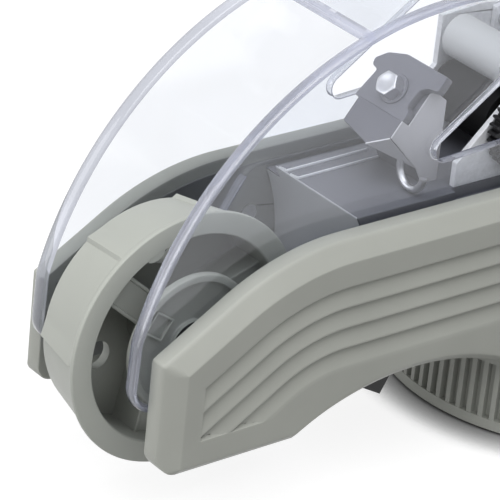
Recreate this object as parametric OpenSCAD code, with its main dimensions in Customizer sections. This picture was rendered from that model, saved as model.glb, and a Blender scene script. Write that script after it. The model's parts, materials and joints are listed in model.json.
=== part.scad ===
/* [Base] */
// Diameter of the ribbed round base
base_d = 125; // [110:1:140]
// Height of the base, floor to top
base_h = 28; // [24:0.5:32]
// Wall of the base skirt behind its ribs
base_wall = 4; // [3:0.5:6]
// Number of ribs round the skirt
rib_count = 96; // [72:4:120]
// Depth of each rib
rib_depth = 2.2; // [1.5:0.1:3]
// Thickness of the plate that closes the base below
bottom_plate_t = 2.5; // [2:0.5:4]
// Height of the steel ballast disc
ballast_h = 9; // [6:0.5:12]
// Diameter of each rubber foot
foot_d = 14; // [10:1:18]
// Height by which the feet lift the skirt off the floor
foot_lift = 1; // [0.5:0.1:2]

/* [Body] */
// Distance from the base centre back to the reel axis
reel_reach = 169; // [160:1:180]
// Height of the reel axis above the floor
reel_z = 55.5; // [52:0.5:60]
// Clear width between the two arms
arm_gap = 52.4; // [48:0.2:60]
// Width of the flat top of each arm
arm_top_w = 6.1; // [5:0.1:8]
// Width of the bevel outside that flat top
arm_bevel_w = 4.4; // [3.5:0.1:6]
// Height of that bevel
arm_bevel_drop = 5.3; // [4:0.1:7]
// Length of each arm behind the reel axis
arm_tail = 24.5; // [22:0.5:28]
// Length of the bevel at the end of each arm
arm_end_bevel = 6; // [4:0.5:8]
// Height of the flat top of the arms above the floor
arm_top_z = 88.6; // [86:0.2:94]
// Slope of the arms beside the reel, degrees
arm_slope = 31; // [28:1:33]
// Radius of the bend between the slope and the flat top
arm_bend_r = 78; // [74:1:84]
// Distance from the reel axis forward to the end of that bend
bend_ahead = 39; // [36:1:44]
// Height of the bevel along the lower edge of the shells
bottom_bevel = 2.3; // [1:0.1:3]
// Height of the arch under the body, at its crest
arch_crest_z = 39.7; // [37:0.1:43]
// Distance from the base centre back to that crest
arch_back = 101; // [98:1:106]
// Radius of the arch
arch_r = 90; // [80:1:100]
// Wall of the outer shells
shell_wall = 3; // [2.5:0.1:4]
// Thickness of the frame plates
frame_t = 2.5; // [2:0.1:3.5]
// Distance from the base centre forward to the nose
body_front = 58; // [54:1:60]
// Slope of the control panel, degrees
panel_slope = 40; // [36:1:42]
// Distance from the base centre forward to the top of the control panel
panel_top_x = 8; // [6:0.5:10]

/* [Fluted side panels] */
// Depth below the arm's top edge where the flutes begin
flute_start = 13.4; // [12:0.2:16]
// Height of one flute
flute_pitch = 6.8; // [6:0.1:7.2]
// Number of flutes
flute_count = 4; // [3:1:4]
// Depth of each flute
flute_depth = 1.4; // [0.6:0.1:1.8]
// Width of the flat land between two flutes
flute_land = 0.8; // [0.5:0.1:1.2]
// Distance from the arm's end to the flutes
flute_margin = 12.3; // [10:0.1:16]
// Height of the flutes' lower edge above the shell's lower edge
flute_floor = 10; // [8:0.5:12]

/* [Reel] */
// Radius of the reel's lip
lip_r = 40; // [39:0.5:42]
// Width of the reel
reel_w = 22; // [18:0.5:26]
// Radius of the drum at its plain end
drum_small_r = 35.2; // [34.6:0.1:36.5]
// Radius of the drum's inside
drum_bore_r = 33; // [31:0.5:33.5]
// Number of grip teeth on the drum
tooth_count = 7; // [5:1:9]
// Height of the grip teeth
tooth_h = 1.3; // [0.8:0.1:1.5]
// Thickness of the web between drum and hub
web_t = 3; // [2:0.5:5]
// Distance of the web from the drum's plain end
web_inset = 2; // [1:0.5:8]
// Radius of the lightening holes in the web
web_hole_r = 3.6; // [2.8:0.1:4.5]
// Number of lightening holes, each between two spokes
web_holes = 3; // [3:1:5]
// Width of the spokes between hub and drum
spoke_w = 10.4; // [8:0.2:12]
// Radius of the hub
hub_r = 9; // [8.5:0.5:11]
// Radius of the end disc on the near side of the hub
hub_disc_r = 21.5; // [20:0.5:24]
// Radius of the reel's axle
axle_r = 5; // [4:0.25:6]

/* [Clear cover] */
// Radius of the cover's rear edge
cover_r = 114; // [110:1:118]
// Distance from the reel axis forward to the centre of that radius
cover_ahead = 81.7; // [78:0.5:86]
// Depth of that centre below the reel axis
cover_below = 16.6; // [14:0.2:20]
// Thickness of the cover
cover_t = 2.6; // [2:0.1:3]
// Gap between the cover's side panels and the arms
cover_gap = 0.5; // [0.3:0.1:0.8]
// Distance from the reel axis back to the cover's rearmost point
cover_tail = 29.2; // [27:0.2:31]
// Depth of the side panels below the reel axis
cover_drop = 11.5; // [10:0.5:14]
// Distance from the reel axis forward to the rear edge of the roof
roof_start = 45; // [40:1:52]
// Fall of the roof towards the front, degrees
roof_fall = 12; // [10:1:14]
// Distance from the base centre forward to the cover's front edge
cover_front = 4; // [2:0.5:6]
// Radius of the pivot bushes that carry the cover
pivot_r = 8; // [7:0.25:9]

/* [Head] */
// Width of the head block
head_w = 20; // [16:0.5:24]
// Distance from the base centre back to the head's bolt
bolt_back = 90; // [88:0.5:94]
// Height of that bolt above the deck
bolt_up = 28.2; // [26.2:0.2:30.2]
// Lean of the head's face, degrees from upright
head_lean = 38; // [34:1:42]
// Width of the bolt head across its flats
bolt_af = 7; // [5.5:0.5:8]

/* [Feed] */
// Radius of the feed roller
feed_r = 10; // [9:0.25:11]
// Distance from the base centre back to the feed roller
feed_back = 54; // [52:0.5:56]
// Height of the feed roller's axis above the deck
feed_up = 16; // [15:0.5:18]
// Radius of the pinch roller
pinch_r = 7; // [6:0.25:8]
// Tape gap between the two rollers
nip_gap = 0.4; // [0.3:0.1:0.8]
// Width of the rollers
roller_w = 26; // [22:1:28]
// Radius of the roller shafts
shaft_r = 3; // [2.5:0.25:3.5]
// Tooth size of the gears, as their module
gear_m = 0.8; // [0.7:0.05:0.9]

/* [Cutter] */
// Radius of the cutter shaft
cutter_shaft_r = 2.5; // [2:0.25:3]
// Distance from the base centre back to the cutter shaft
cutter_back = 36; // [35:0.5:37]
// Height of the cutter shaft above the deck
cutter_up = 36; // [34:0.5:37]
// Distance from the base centre back to the moving blade
blade_back = 4; // [3:0.5:5]
// Swing of the cutter arm, degrees
cutter_swing = 12; // [8:1:14]

/* [Controls] */
// Length of the display window
display_l = 38; // [30:1:42]
// Height of the display window
display_h = 16; // [12:1:18]
// Diameter of the push buttons
button_d = 9; // [7:0.5:11]
// Spacing of the push buttons
button_pitch = 16; // [14:0.5:17]
// Travel of the push buttons
button_travel = 1.2; // [0.8:0.1:1.5]
// Length of the power rocker
rocker_l = 17; // [14:0.5:19]
// Height of the power rocker
rocker_h = 8; // [6:0.5:9]

/* [Fits] */
// Radial clearance of running fits
run_clear = 0.05; // [0.03:0.01:0.08]
// Clearance round pieces that are set into others
set_clear = 0.2; // [0.1:0.05:0.3]
// Radius of the screws
screw_r = 1.5; // [1.25:0.05:1.75]

/* [Hidden] */
$fn = 96;
eps = 0.01;
shade = [0.66, 0.67, 0.65];
pale = [0.74, 0.75, 0.72];
black = [0.08, 0.08, 0.09];
steel = [0.72, 0.72, 0.74];

base_r = base_d / 2;
y_in = arm_gap / 2;
y_mid = y_in + arm_top_w;
y_out = y_mid + arm_bevel_w;
reel_x = -reel_reach;
end_x = reel_x - arm_tail;
bend_x = reel_x + bend_ahead;
bend_z = arm_top_z - arm_bend_r;
arch_z = arch_crest_z - arch_r;
flat_lo = base_h;
corner_r = 6;
arc_steps = 12;

// Shell outline, inset from its edges by dt at the top, de at the end, db below and df at the nose;
// ridge moves the corner above the control panel forward
function bend_arc(d) = [for (i = [0:arc_steps]) let (a = arm_slope * (1 - i / arc_steps))
    [bend_x - (arm_bend_r - d) * sin(a), bend_z + (arm_bend_r - d) * cos(a)]];
function slope_z(x, d) = bend_arc(d)[0][1] - (bend_arc(d)[0][0] - x) * tan(arm_slope);
function panel_x(d) = panel_top_x - d * (1 - cos(panel_slope)) / sin(panel_slope);
function nose_z(x, d) = arm_top_z - (d + sin(panel_slope) * (x - panel_top_x)) / cos(panel_slope);
function arch_half(z, d) = sqrt(pow(arch_r + d, 2) - pow(z - arch_z, 2));
function arch_pts(z, d) = let (h = arch_half(z, d)) [for (i = [0:arc_steps])
    let (x = h * (1 - 2 * i / arc_steps))
    [x - arch_back, arch_z + sqrt(pow(arch_r + d, 2) - x * x)]];
function corner_pts(x, z) = [for (i = [0:4]) let (a = 270 - 22.5 * i)
    [x + corner_r + corner_r * cos(a), z + corner_r + corner_r * sin(a)]];
function outline(dt, de, db, df, ridge = 0) = concat(
    [[end_x + de, slope_z(end_x + de, dt)]],
    bend_arc(dt),
    [[panel_x(dt) + ridge, arm_top_z - dt],
     [body_front - df, nose_z(body_front - df, dt)],
     [body_front - df, flat_lo + db]],
    arch_pts(flat_lo + db, db),
    corner_pts(end_x + de, flat_lo + db));

module slab(y0, y1) { translate([0, y1, 0]) rotate([90, 0, 0]) linear_extrude(y1 - y0) children(); }
module ycyl(x, z, r, y0, y1) { translate([x, y1, z]) rotate([90, 0, 0]) cylinder(r = r, h = y1 - y0); }
module both_sides() { children(); mirror([0, 1, 0]) children(); }
module box(lo, hi) { translate(lo) cube(hi - lo); }

function quad(a, b, c, d) = [[a, b, c], [a, c, d]];

// Closed ring that cuts the bevel round the outer face of a shell, drawn past the bevel by bevel_over
bevel_over = 0.2;
ridge_shift = 0.3;
function bevel_outline(t) =
    outline(t * arm_bevel_drop, t * arm_end_bevel, t * bottom_bevel, t * arm_bevel_w, ridge_shift);

module bevel_ring() {
    outer = bevel_outline(-bevel_over);
    inner = bevel_outline(1 + bevel_over);
    n = len(outer);
    lo = y_mid - bevel_over * arm_bevel_w;
    hi = y_out + bevel_over * arm_bevel_w;
    points = concat([for (p = outer) [p[0], lo, p[1]]], [for (p = outer) [p[0], hi, p[1]]],
                    [for (p = inner) [p[0], hi, p[1]]]);
    polyhedron(points, [for (i = [0:n - 1]) let (j = (i + 1) % n)
        each concat(quad(n + i, n + j, j, i), quad(n + j, n + i, 2 * n + i, 2 * n + j),
                    quad(2 * n + j, 2 * n + i, i, j))]);
}

// Base
foot_inset = 7;
foot_ring = base_r - base_wall - foot_d / 2 - foot_inset;
plate_r = base_r - base_wall - rib_depth - set_clear;
plate_rise = 0.5;
plate_lo = foot_lift + plate_rise;
roof_t = 4;
skirt_band = 3.5;
rib_inset = 0.25;
post_r = 4;
post_edge = 1;
base_post_ring = plate_r - post_r - post_edge;
ballast_r = base_post_ring - post_r - 2;
ballast_bore_r = 8;
screw_head_t = 1.2;
screw_head_r = 2 * screw_r;
base_screw_l = 10;
screw_hole_l = base_screw_l + 2;

module base_ring() {
    step = 360 / rib_count;
    root = base_r - rib_depth;
    crest = base_r - rib_inset;
    color(shade) difference() {
        union() {
            translate([0, 0, foot_lift]) cylinder(r = base_r, h = skirt_band);
            translate([0, 0, foot_lift]) linear_extrude(base_h - foot_lift - roof_t)
                polygon([for (i = [0:rib_count - 1]) for (s = [0:3])
                    let (a = (i + [0, 0.4, 0.5, 0.9][s]) * step, r = [root, root, crest, crest][s])
                    [r * cos(a), r * sin(a)]]);
            translate([0, 0, base_h - roof_t]) cylinder(r = base_r, h = roof_t);
        }
        translate([0, 0, -eps]) cylinder(r = base_r - rib_depth - base_wall, h = base_h - roof_t + eps);
    }
    color(shade) for (i = [0:3]) rotate(45 + 90 * i) translate([base_post_ring, 0, 0]) difference() {
        translate([0, 0, plate_lo + bottom_plate_t])
            cylinder(r = post_r, h = base_h - roof_t - plate_lo - bottom_plate_t);
        translate([0, 0, plate_lo]) cylinder(r = screw_r + run_clear, h = screw_hole_l);
    }
}

module base_plate() {
    color(black) difference() {
        translate([0, 0, plate_lo]) cylinder(r = plate_r, h = bottom_plate_t);
        for (i = [0:3]) rotate(45 + 90 * i) translate([base_post_ring, 0, 0]) {
            translate([0, 0, plate_lo - eps])
                cylinder(r = screw_r + set_clear, h = bottom_plate_t + 2 * eps);
            translate([0, 0, plate_lo - eps])
                cylinder(r = screw_head_r + set_clear, h = screw_head_t + eps);
        }
    }
}

module ballast_disc() {
    color(steel) translate([0, 0, plate_lo + bottom_plate_t]) difference() {
        cylinder(r = ballast_r, h = ballast_h);
        translate([0, 0, -eps]) cylinder(r = ballast_bore_r, h = ballast_h + 2 * eps);
    }
}

module rubber_feet() {
    color(black) {
        cylinder(r = foot_d / 2, h = plate_lo);
        for (i = [0:3]) rotate(90 * i) translate([foot_ring, 0, 0]) cylinder(r = foot_d / 2, h = plate_lo);
    }
}

module base_screws() {
    color(steel) for (i = [0:3]) rotate(45 + 90 * i) translate([base_post_ring, 0, plate_lo]) {
        cylinder(r = screw_head_r, h = screw_head_t);
        cylinder(r = screw_r, h = base_screw_l);
    }
}

// Frame plates and outer shells
boss_r = 4;
screw_tip = 0.5;
boss_back = 10;
boss_ahead = 50;
boss_rise = 12;
boss_pts = [[reel_x - boss_back, reel_z - boss_rise], [reel_x + boss_ahead, reel_z + boss_rise],
            [-75, 60], [-10, 40], [-10, 76], [38, 42]];
pocket_floor = y_out - shell_wall;
rim = shell_wall + 1;
flute_end = 20;

module frame_outline() {
    d = rim + set_clear;
    polygon(outline(d, d, d, d));
}

module frame_plate() {
    color(shade) difference() {
        slab(y_in, y_in + frame_t) frame_outline();
        ycyl(reel_x, reel_z, axle_r, y_in - eps, y_in + frame_t + eps);
        for (p = boss_pts) {
            ycyl(p[0], p[1], screw_r + set_clear, y_in - eps, y_in + frame_t + eps);
            ycyl(p[0], p[1], screw_head_r + set_clear, y_in - eps, y_in + screw_head_t);
        }
    }
}

// One flute: a wedge that follows the arm's upper edge, deepest along its upper side
module flute(k) {
    d0 = flute_start + k * flute_pitch;
    d1 = d0 + flute_pitch - flute_land / 2;
    over = flute_depth * flute_land / 2 / (flute_pitch - flute_land);
    far = panel_x(d1) - flute_end;
    a = concat([[end_x, slope_z(end_x, d0)]], bend_arc(d0), [[far, arm_top_z - d0]]);
    b = concat([[end_x, slope_z(end_x, d1)]], bend_arc(d1), [[far, arm_top_z - d1]]);
    n = len(a);
    points = [for (i = [0:n - 1]) each [[a[i][0], y_out - flute_depth, a[i][1]],
                                        [a[i][0], y_out + 1, a[i][1]],
                                        [b[i][0], y_out + 1, b[i][1]],
                                        [b[i][0], y_out + over, b[i][1]]]];
    sides = [for (i = [0:n - 2]) for (s = [0:3]) let (t = (s + 1) % 4)
        each quad(4 * i + s, 4 * i + t, 4 * i + 4 + t, 4 * i + 4 + s)];
    polyhedron(points, concat([[3, 2, 1, 0]], sides, [[4 * n - 4, 4 * n - 3, 4 * n - 2, 4 * n - 1]]));
}

module side_shell() {
    color(pale) difference() {
        slab(y_in, y_out) polygon(outline(0, 0, 0, 0));
        bevel_ring();
        difference() {
            slab(y_in - eps, pocket_floor) polygon(outline(rim, rim, rim, rim));
            for (p = boss_pts) ycyl(p[0], p[1], boss_r, y_in + frame_t, pocket_floor + eps);
        }
        for (p = boss_pts) ycyl(p[0], p[1], screw_r + run_clear, y_in, pocket_floor + screw_tip);
        intersection() {
            union() { for (k = [0:flute_count - 1]) flute(k); }
            box([end_x + flute_margin, y_in, flat_lo + flute_floor], [body_front, y_out + 2, arm_top_z]);
        }
    }
}

module near_frame_plate() { mirror([0, 1, 0]) frame_plate(); }
module far_frame_plate() { frame_plate(); }
module near_side_shell() { mirror([0, 1, 0]) side_shell(); }
module far_side_shell() { side_shell(); }

module shell_screws() {
    color(steel) both_sides() for (p = boss_pts) {
        ycyl(p[0], p[1], screw_head_r, y_in, y_in + screw_head_t);
        ycyl(p[0], p[1], screw_r, y_in, pocket_floor);
    }
}

// Deck, cradle and pan between the frame plates
deck_drop = 2.6;
deck_z = arm_top_z - deck_drop;
deck_t = 4;
deck_inset = 6.8;
deck_half = y_in - deck_inset;
deck_mech_half = 17;
flange_t = 4;
cradle_r = 61;
cradle_wall = 3;
cradle_foot = 4;
pan_t = 3;
pan_back = 16;
deck_end = -6;
mech_rear = -78;

module deck() {
    color(shade) difference() {
        union() {
            box([reel_x, -deck_half, deck_z - deck_t], [mech_rear, deck_half, deck_z]);
            box([mech_rear, -deck_mech_half, deck_z - deck_t], [deck_end, deck_mech_half, deck_z]);
            box([reel_x, -y_in, deck_z - deck_t - flange_t], [deck_end, y_in, deck_z - deck_t]);
        }
        ycyl(reel_x, reel_z, cradle_r, -y_in - 1, y_in + 1);
    }
}

module cradle() {
    color(shade) intersection() {
        difference() {
            ycyl(reel_x, reel_z, cradle_r + cradle_wall, -y_in, y_in);
            ycyl(reel_x, reel_z, cradle_r, -y_in - 1, y_in + 1);
        }
        box([reel_x, -y_in, arch_crest_z + cradle_foot], [0, y_in, deck_z - deck_t - flange_t]);
    }
}

module belly_pan() {
    color(shade) intersection() {
        difference() {
            ycyl(-arch_back, arch_z, arch_r + pan_t, -y_in, y_in);
            ycyl(-arch_back, arch_z, arch_r, -y_in - 1, y_in + 1);
        }
        box([-arch_back - pan_back, -y_in, flat_lo],
            [-base_r + cradle_foot, y_in, arch_crest_z + cradle_foot]);
    }
}

// Power inlet below the belly pan, turned to face down and back
inlet_l = 24;
inlet_w = 18;
inlet_turn = 29;
inlet_x = -99;
inlet_z = 22.5;
inlet_y = -20;
inlet_bore_r = 3.1;
inlet_bore_l = 11;
inlet_pin_r = 1;
inlet_pin_back = 1;
inlet_h = 40;

module power_inlet() {
    color(black) difference() {
        translate([inlet_x, inlet_y, inlet_z]) rotate([0, inlet_turn, 0]) difference() {
            translate([-inlet_l, 0, 0]) cube([inlet_l, inlet_w, inlet_h]);
            translate([-inlet_l / 2, inlet_w / 2, -eps]) difference() {
                cylinder(r = inlet_bore_r, h = inlet_bore_l);
                translate([0, 0, inlet_pin_back]) cylinder(r = inlet_pin_r, h = inlet_bore_l);
            }
        }
        difference() {
            box([-arch_back - arch_r, inlet_y - 1, 0], [0, inlet_y + inlet_w + 1, deck_z]);
            ycyl(-arch_back, arch_z, arch_r, inlet_y - 2, inlet_y + inlet_w + 2);
        }
    }
}

// Front housing and its sloping control panel
house_wall = 3;
house_rear = -6;
display_u = 20;
button_u = 42;
button_proud = 1.6;
button_flange = 1.2;
board_depth = 9;
board_t = 1.6;
board_edge = 4;
tact_w = 6;
tact_h = board_depth - house_wall - button_flange - button_travel - 0.3;
window_t = 1.5;
window_lip = 1;
module_clear = 0.4;
panel_post_r = 3;
post_u = [6, 54];
post_v = y_in - 6;
rocker_v = 12;
rocker_up = 8;
rocker_z = base_h + rocker_up;
bezel_w = 2.5;
case_wall = 0.8;
case_l = 14;

module on_panel(u, v) {
    translate([panel_top_x, 0, arm_top_z]) rotate([0, panel_slope, 0]) translate([u, v, 0]) children();
}

module house_outline(d) {
    polygon([[house_rear + d, base_h + d], [body_front - d, base_h + d],
             [body_front - d, nose_z(body_front - d, d)], [panel_x(d), arm_top_z - d],
             [house_rear + d, arm_top_z - d]]);
}

module front_housing() {
    color(pale) difference() {
        union() {
            difference() {
                slab(-y_in, y_in) house_outline(0);
                slab(-y_in - 1, y_in + 1) house_outline(house_wall);
            }
            for (u = post_u) for (v = [-post_v, post_v])
                on_panel(u, v) translate([0, 0, -board_depth])
                    cylinder(r = panel_post_r, h = board_depth - 1);
        }
        on_panel(display_u, 0) {
            translate([-display_h / 2, -display_l / 2, -window_t])
                cube([display_h, display_l, 2 * window_t]);
            translate([window_lip - display_h / 2, window_lip - display_l / 2, -2 * house_wall])
                cube([display_h - 2 * window_lip, display_l - 2 * window_lip, 3 * house_wall]);
        }
        for (i = [-1:1]) on_panel(button_u, i * button_pitch) translate([0, 0, -house_wall - 1])
            cylinder(r = button_d / 2 + set_clear, h = house_wall + 2);
        box([body_front - house_wall - 1, rocker_v - rocker_l / 2 - case_wall - set_clear,
             rocker_z - rocker_h / 2 - case_wall - set_clear],
            [body_front + 1, rocker_v + rocker_l / 2 + case_wall + set_clear,
             rocker_z + rocker_h / 2 + case_wall + set_clear]);
    }
}

module display_window() {
    c = set_clear / 2;
    color([0.1, 0.14, 0.12]) on_panel(display_u, 0)
        translate([c - display_h / 2, c - display_l / 2, -window_t])
            cube([display_h - 2 * c, display_l - 2 * c, window_t]);
}

module display_module() {
    c = window_lip + module_clear;
    color([0.3, 0.42, 0.32]) on_panel(display_u, 0)
        translate([c - display_h / 2, c - display_l / 2, -board_depth])
            cube([display_h - 2 * c, display_l - 2 * c, board_depth - window_t]);
}

module control_board() {
    color([0.1, 0.35, 0.18]) on_panel(0, 0) {
        translate([post_u[0] - board_edge, -post_v - board_edge, -board_depth - board_t])
            cube([post_u[1] - post_u[0] + 2 * board_edge, 2 * (post_v + board_edge), board_t]);
        for (i = [-1:1])
            translate([button_u - tact_w / 2, i * button_pitch - tact_w / 2, -board_depth - eps])
                cube([tact_w, tact_w, tact_h]);
    }
}

module push_button(i) {
    color(pale) on_panel(button_u, i * button_pitch) {
        translate([0, 0, -house_wall - eps])
            cylinder(r = button_d / 2, h = house_wall + button_proud + eps);
        translate([0, 0, -house_wall - button_flange])
            cylinder(r = button_d / 2 + button_flange, h = button_flange);
    }
}
module feed_button() { push_button(-1); }
module cut_button() { push_button(0); }
module mode_button() { push_button(1); }

rocker_x = body_front - 1.5;
rocker_round = rocker_l / 2;
rocker_play = 0.3;
rocker_depth = 3;
rocker_dip = 2.2;
rocker_off = 3.2;
rocker_on = 4.6;
stub_r = 1.2;
stub_in = 0.9;
recess = 0.8;
bezel_t = 1;
cavity_l = 8;

module switch_case() {
    l = rocker_l / 2;
    h = rocker_h / 2;
    color(black) difference() {
        union() {
            box([body_front, rocker_v - l - bezel_w, rocker_z - h - bezel_w],
                [body_front + bezel_t, rocker_v + l + bezel_w, rocker_z + h + bezel_w]);
            box([body_front - case_l, rocker_v - l - case_wall, rocker_z - h - case_wall],
                [body_front + eps, rocker_v + l + case_wall, rocker_z + h + case_wall]);
        }
        box([body_front - cavity_l, rocker_v - l, rocker_z - h],
            [body_front + 2, rocker_v + l, rocker_z + h]);
    }
    color(black) translate([rocker_x, rocker_v, rocker_z]) for (s = [0, 180]) rotate([s, 0, 0])
        translate([0, 0, h - stub_in]) cylinder(r = stub_r, h = stub_in + case_wall / 2);
}

module power_rocker() {
    h = rocker_h / 2 - rocker_play;
    color([0.15, 0.15, 0.16]) translate([rocker_x, rocker_v, rocker_z - h]) difference() {
        linear_extrude(2 * h) intersection() {
            circle(r = rocker_round - rocker_play);
            polygon([[-rocker_depth, -rocker_l], [0, -rocker_l], [rocker_off, -rocker_round],
                     [rocker_dip, 0], [rocker_on, rocker_round], [0, rocker_l], [-rocker_depth, rocker_l]]);
        }
        for (z = [-eps, 2 * h - recess]) translate([0, 0, z])
            cylinder(r = stub_r + run_clear, h = recess + eps);
    }
}

// Reel
lip_w = 1.6;
lip_step = 1.1;
lip_ramp = 1;
drum_edge = 0.6;
drum_big_r = lip_r - lip_step;
tooth_start = 128;
tooth_span = 9;
tooth_root = 1.5;
tooth_sink = 0.3;
tooth_end = 1;
spoke_dir = 139;
spoke_set = 6;
spoke_root = 0.5;
hole_ring = (drum_bore_r + hub_r) / 2;
spacer_r = 7;
spacer_play = 0.3;
disc_t = 2.5;
disc_rim = 2;
disc_floor = 1;

module at_reel() { translate([reel_x, 0, reel_z]) rotate([90, 0, 0]) children(); }

module reel_drum() {
    h = reel_w / 2;
    spoke_low = web_inset + web_t / 2;
    color(pale) at_reel() difference() {
        union() {
            rotate_extrude() polygon([[drum_bore_r, -h], [drum_small_r - drum_edge, -h],
                [drum_small_r, drum_edge - h], [drum_big_r, h - lip_w - lip_ramp], [lip_r, h - lip_w],
                [lip_r, h], [drum_bore_r, h]]);
            translate([0, 0, web_inset - h]) cylinder(r = drum_bore_r + 1, h = web_t);
            for (i = [0:web_holes - 1]) rotate(spoke_dir + i * 360 / web_holes)
                translate([0, -spoke_w / 2, spoke_low - h])
                    cube([drum_bore_r + spoke_root, spoke_w, reel_w - spoke_low - spoke_set]);
            translate([0, 0, -h]) cylinder(r = hub_r, h = reel_w);
            for (i = [0:tooth_count - 1]) rotate(tooth_start + i * 360 / tooth_count) tooth();
        }
        translate([0, 0, -h - 1]) cylinder(r = axle_r + run_clear, h = reel_w + 2);
        for (i = [0:web_holes - 1]) rotate(spoke_dir + (i + 0.5) * 360 / web_holes)
            translate([hole_ring, 0, -h]) cylinder(r = web_hole_r, h = reel_w);
    }
}

// Grip tooth: steep on one side, running out to the drum on the other
module tooth() {
    h = reel_w / 2;
    zs = [tooth_end - h, h - lip_w / 2];
    rs = [drum_small_r, drum_big_r];
    tops = [drum_small_r + tooth_h, lip_r - tooth_sink];
    run = [cos(tooth_span), -sin(tooth_span)];
    p = [for (k = [0, 1]) each [[rs[k] - tooth_root, 0, zs[k]], [tops[k], 0, zs[k]],
         [(rs[k] - tooth_sink) * run[0], (rs[k] - tooth_sink) * run[1], zs[k]],
         [(rs[k] - tooth_root) * run[0], (rs[k] - tooth_root) * run[1], zs[k]]]];
    polyhedron(p, concat([[3, 2, 1, 0], [4, 5, 6, 7]], quad(1, 5, 4, 0), quad(2, 6, 5, 1),
                         quad(3, 7, 6, 2), quad(0, 4, 7, 3)));
}

module reel_end_disc() {
    h = reel_w / 2;
    color(shade) at_reel() difference() {
        translate([0, 0, h]) cylinder(r = hub_disc_r, h = disc_t);
        translate([0, 0, h + disc_floor]) difference() {
            cylinder(r = hub_disc_r - disc_rim, h = disc_t);
            cylinder(r = hub_r, h = disc_t);
        }
        translate([0, 0, h - 1]) cylinder(r = axle_r + run_clear, h = disc_t + 2);
    }
}

module reel_axle() { color(steel) ycyl(reel_x, reel_z, axle_r, -y_in - frame_t, y_in + frame_t); }

module axle_spacers() {
    color(black) {
        tube_y(spacer_r, reel_w / 2 + spacer_play, panel_in);
        tube_y(spacer_r, -panel_in, -reel_w / 2 - disc_t - spacer_play);
    }
}

module tube_y(r, y0, y1) {
    difference() {
        ycyl(reel_x, reel_z, r, y0, y1);
        ycyl(reel_x, reel_z, axle_r + run_clear, y0 - 1, y1 + 1);
    }
}

// Cover
panel_out = y_in - cover_gap;
panel_in = panel_out - cover_t;
cover_x = reel_x + cover_ahead;
cover_z = reel_z - cover_below;
cover_sink = 1.5;
cover_low = deck_z - cover_sink;
cover_nose = arm_top_z + cover_gap;
tail_x = reel_x - cover_tail;
cover_corner = 9;
cover_heel = 21;
cover_toe = 47;
arc_rise = 12;
roof_x = reel_x + roof_start;
rear_angle = 180 - asin((reel_z + arc_rise - cover_z) / cover_r);
cut_rear = [-87, 22];
cut_rear_r = 7;
cut_top = [-48, 44];
cut_front = [-40, 22];
cut_r = 5;
// Outer edge of the cover: the arc, then the straight fall to the front, inset by d
function cover_edge(d, a0) = concat(
    [for (i = [0:2 * arc_steps]) let (a = a0 + (90 - roof_fall - a0) * i / (2 * arc_steps))
        [cover_x + (cover_r - d) * cos(a), cover_z + (cover_r - d) * sin(a)]],
    [[cover_front, roof_z(cover_front, d)]]);
function roof_z(x, d) = cover_z + (cover_r - d) / cos(roof_fall) - (x - cover_x) * tan(roof_fall);
roof_angle = acos((roof_x - cover_x) / cover_r);

module cover_panel() {
    difference() {
        polygon(concat(
            cover_edge(0, rear_angle),
            [[cover_front, cover_nose], [house_rear - cover_gap, cover_nose],
             [house_rear - cover_gap, cover_low], [reel_x + cover_toe, cover_low],
             [reel_x + cover_heel, reel_z - cover_drop]],
            [for (i = [0:4]) let (a = 270 - 22.5 * i)
                [tail_x + cover_corner + cover_corner * cos(a),
                 reel_z - cover_drop + cover_corner + cover_corner * sin(a)]]));
        translate([reel_x, reel_z]) circle(r = pivot_r + run_clear);
        hull() {
            translate([cut_rear[0], deck_z + cut_rear[1]]) circle(r = cut_rear_r, $fn = 32);
            translate([cut_top[0], deck_z + cut_top[1]]) circle(r = cut_r, $fn = 32);
            translate([cut_front[0], deck_z + cut_front[1]]) circle(r = cut_r, $fn = 32);
        }
    }
}

module clear_cover() {
    color([0.85, 0.9, 0.95, 0.35]) {
        both_sides() slab(panel_in, panel_out) cover_panel();
        inner = cover_edge(cover_t, roof_angle);
        slab(-panel_in, panel_in) polygon(concat(
            cover_edge(0, roof_angle),
            [for (i = [len(inner) - 1:-1:0]) inner[i]]));
    }
}

module pivot_bushes() {
    color(shade) both_sides() difference() {
        ycyl(reel_x, reel_z, pivot_r, panel_in, y_in);
        ycyl(reel_x, reel_z, axle_r + run_clear, panel_in - 1, y_in + 1);
    }
}

// Head
bolt_x = -bolt_back;
bolt_z = deck_z + bolt_up;
head_plate_t = 3;
head_lip_low = 13.4;
head_lip_top = 7.5;
head_seat_up = 6;
head_under = 16;
head_under_low = 15.8;
head_back = 12;
head_rise = 2;
head_foot = 6;
plate_up = 10.9;
plate_far = 2.3;
plate_corner = [6.5, 2.4];
tab_out = 3.8;
tab_low = 3.2;
tab_up = 5.2;
wing_out = 5;
wing_low = 5;
notch_in = 2;
notch_low = 2.5;
notch_slope = 1.4;
washer_t = 1;
washer_r = 5.4;
bolt_head_t = 4;
bolt_shank_l = 4;
bolt_hole_l = 11;

// Point in the head's side view: u into the head, s up along its leaning face
function head_at(u, s) = [bolt_x + u * cos(head_lean) + s * sin(head_lean),
                          bolt_z - u * sin(head_lean) + s * cos(head_lean)];

module on_head() { translate([bolt_x, 0, bolt_z]) rotate([0, head_lean, 0]) children(); }

module bolt_hole() {
    on_head() translate([-1, 0, 0]) rotate([0, 90, 0]) cylinder(r = screw_r + run_clear, h = bolt_hole_l + 1);
}

module head_block() {
    back = bolt_x + head_back;
    color([0.53, 0.53, 0.56]) difference() {
        slab(-head_w / 2, head_w / 2) polygon([head_at(0, -head_lip_low), head_at(0, -head_lip_top),
            head_at(head_plate_t, -head_lip_top), head_at(head_plate_t, head_seat_up),
            [back, bolt_z - head_rise], [back, deck_z], [bolt_x + head_foot, deck_z],
            head_at(head_under, -head_under_low)]);
        bolt_hole();
        loop_pin();
    }
}

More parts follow.
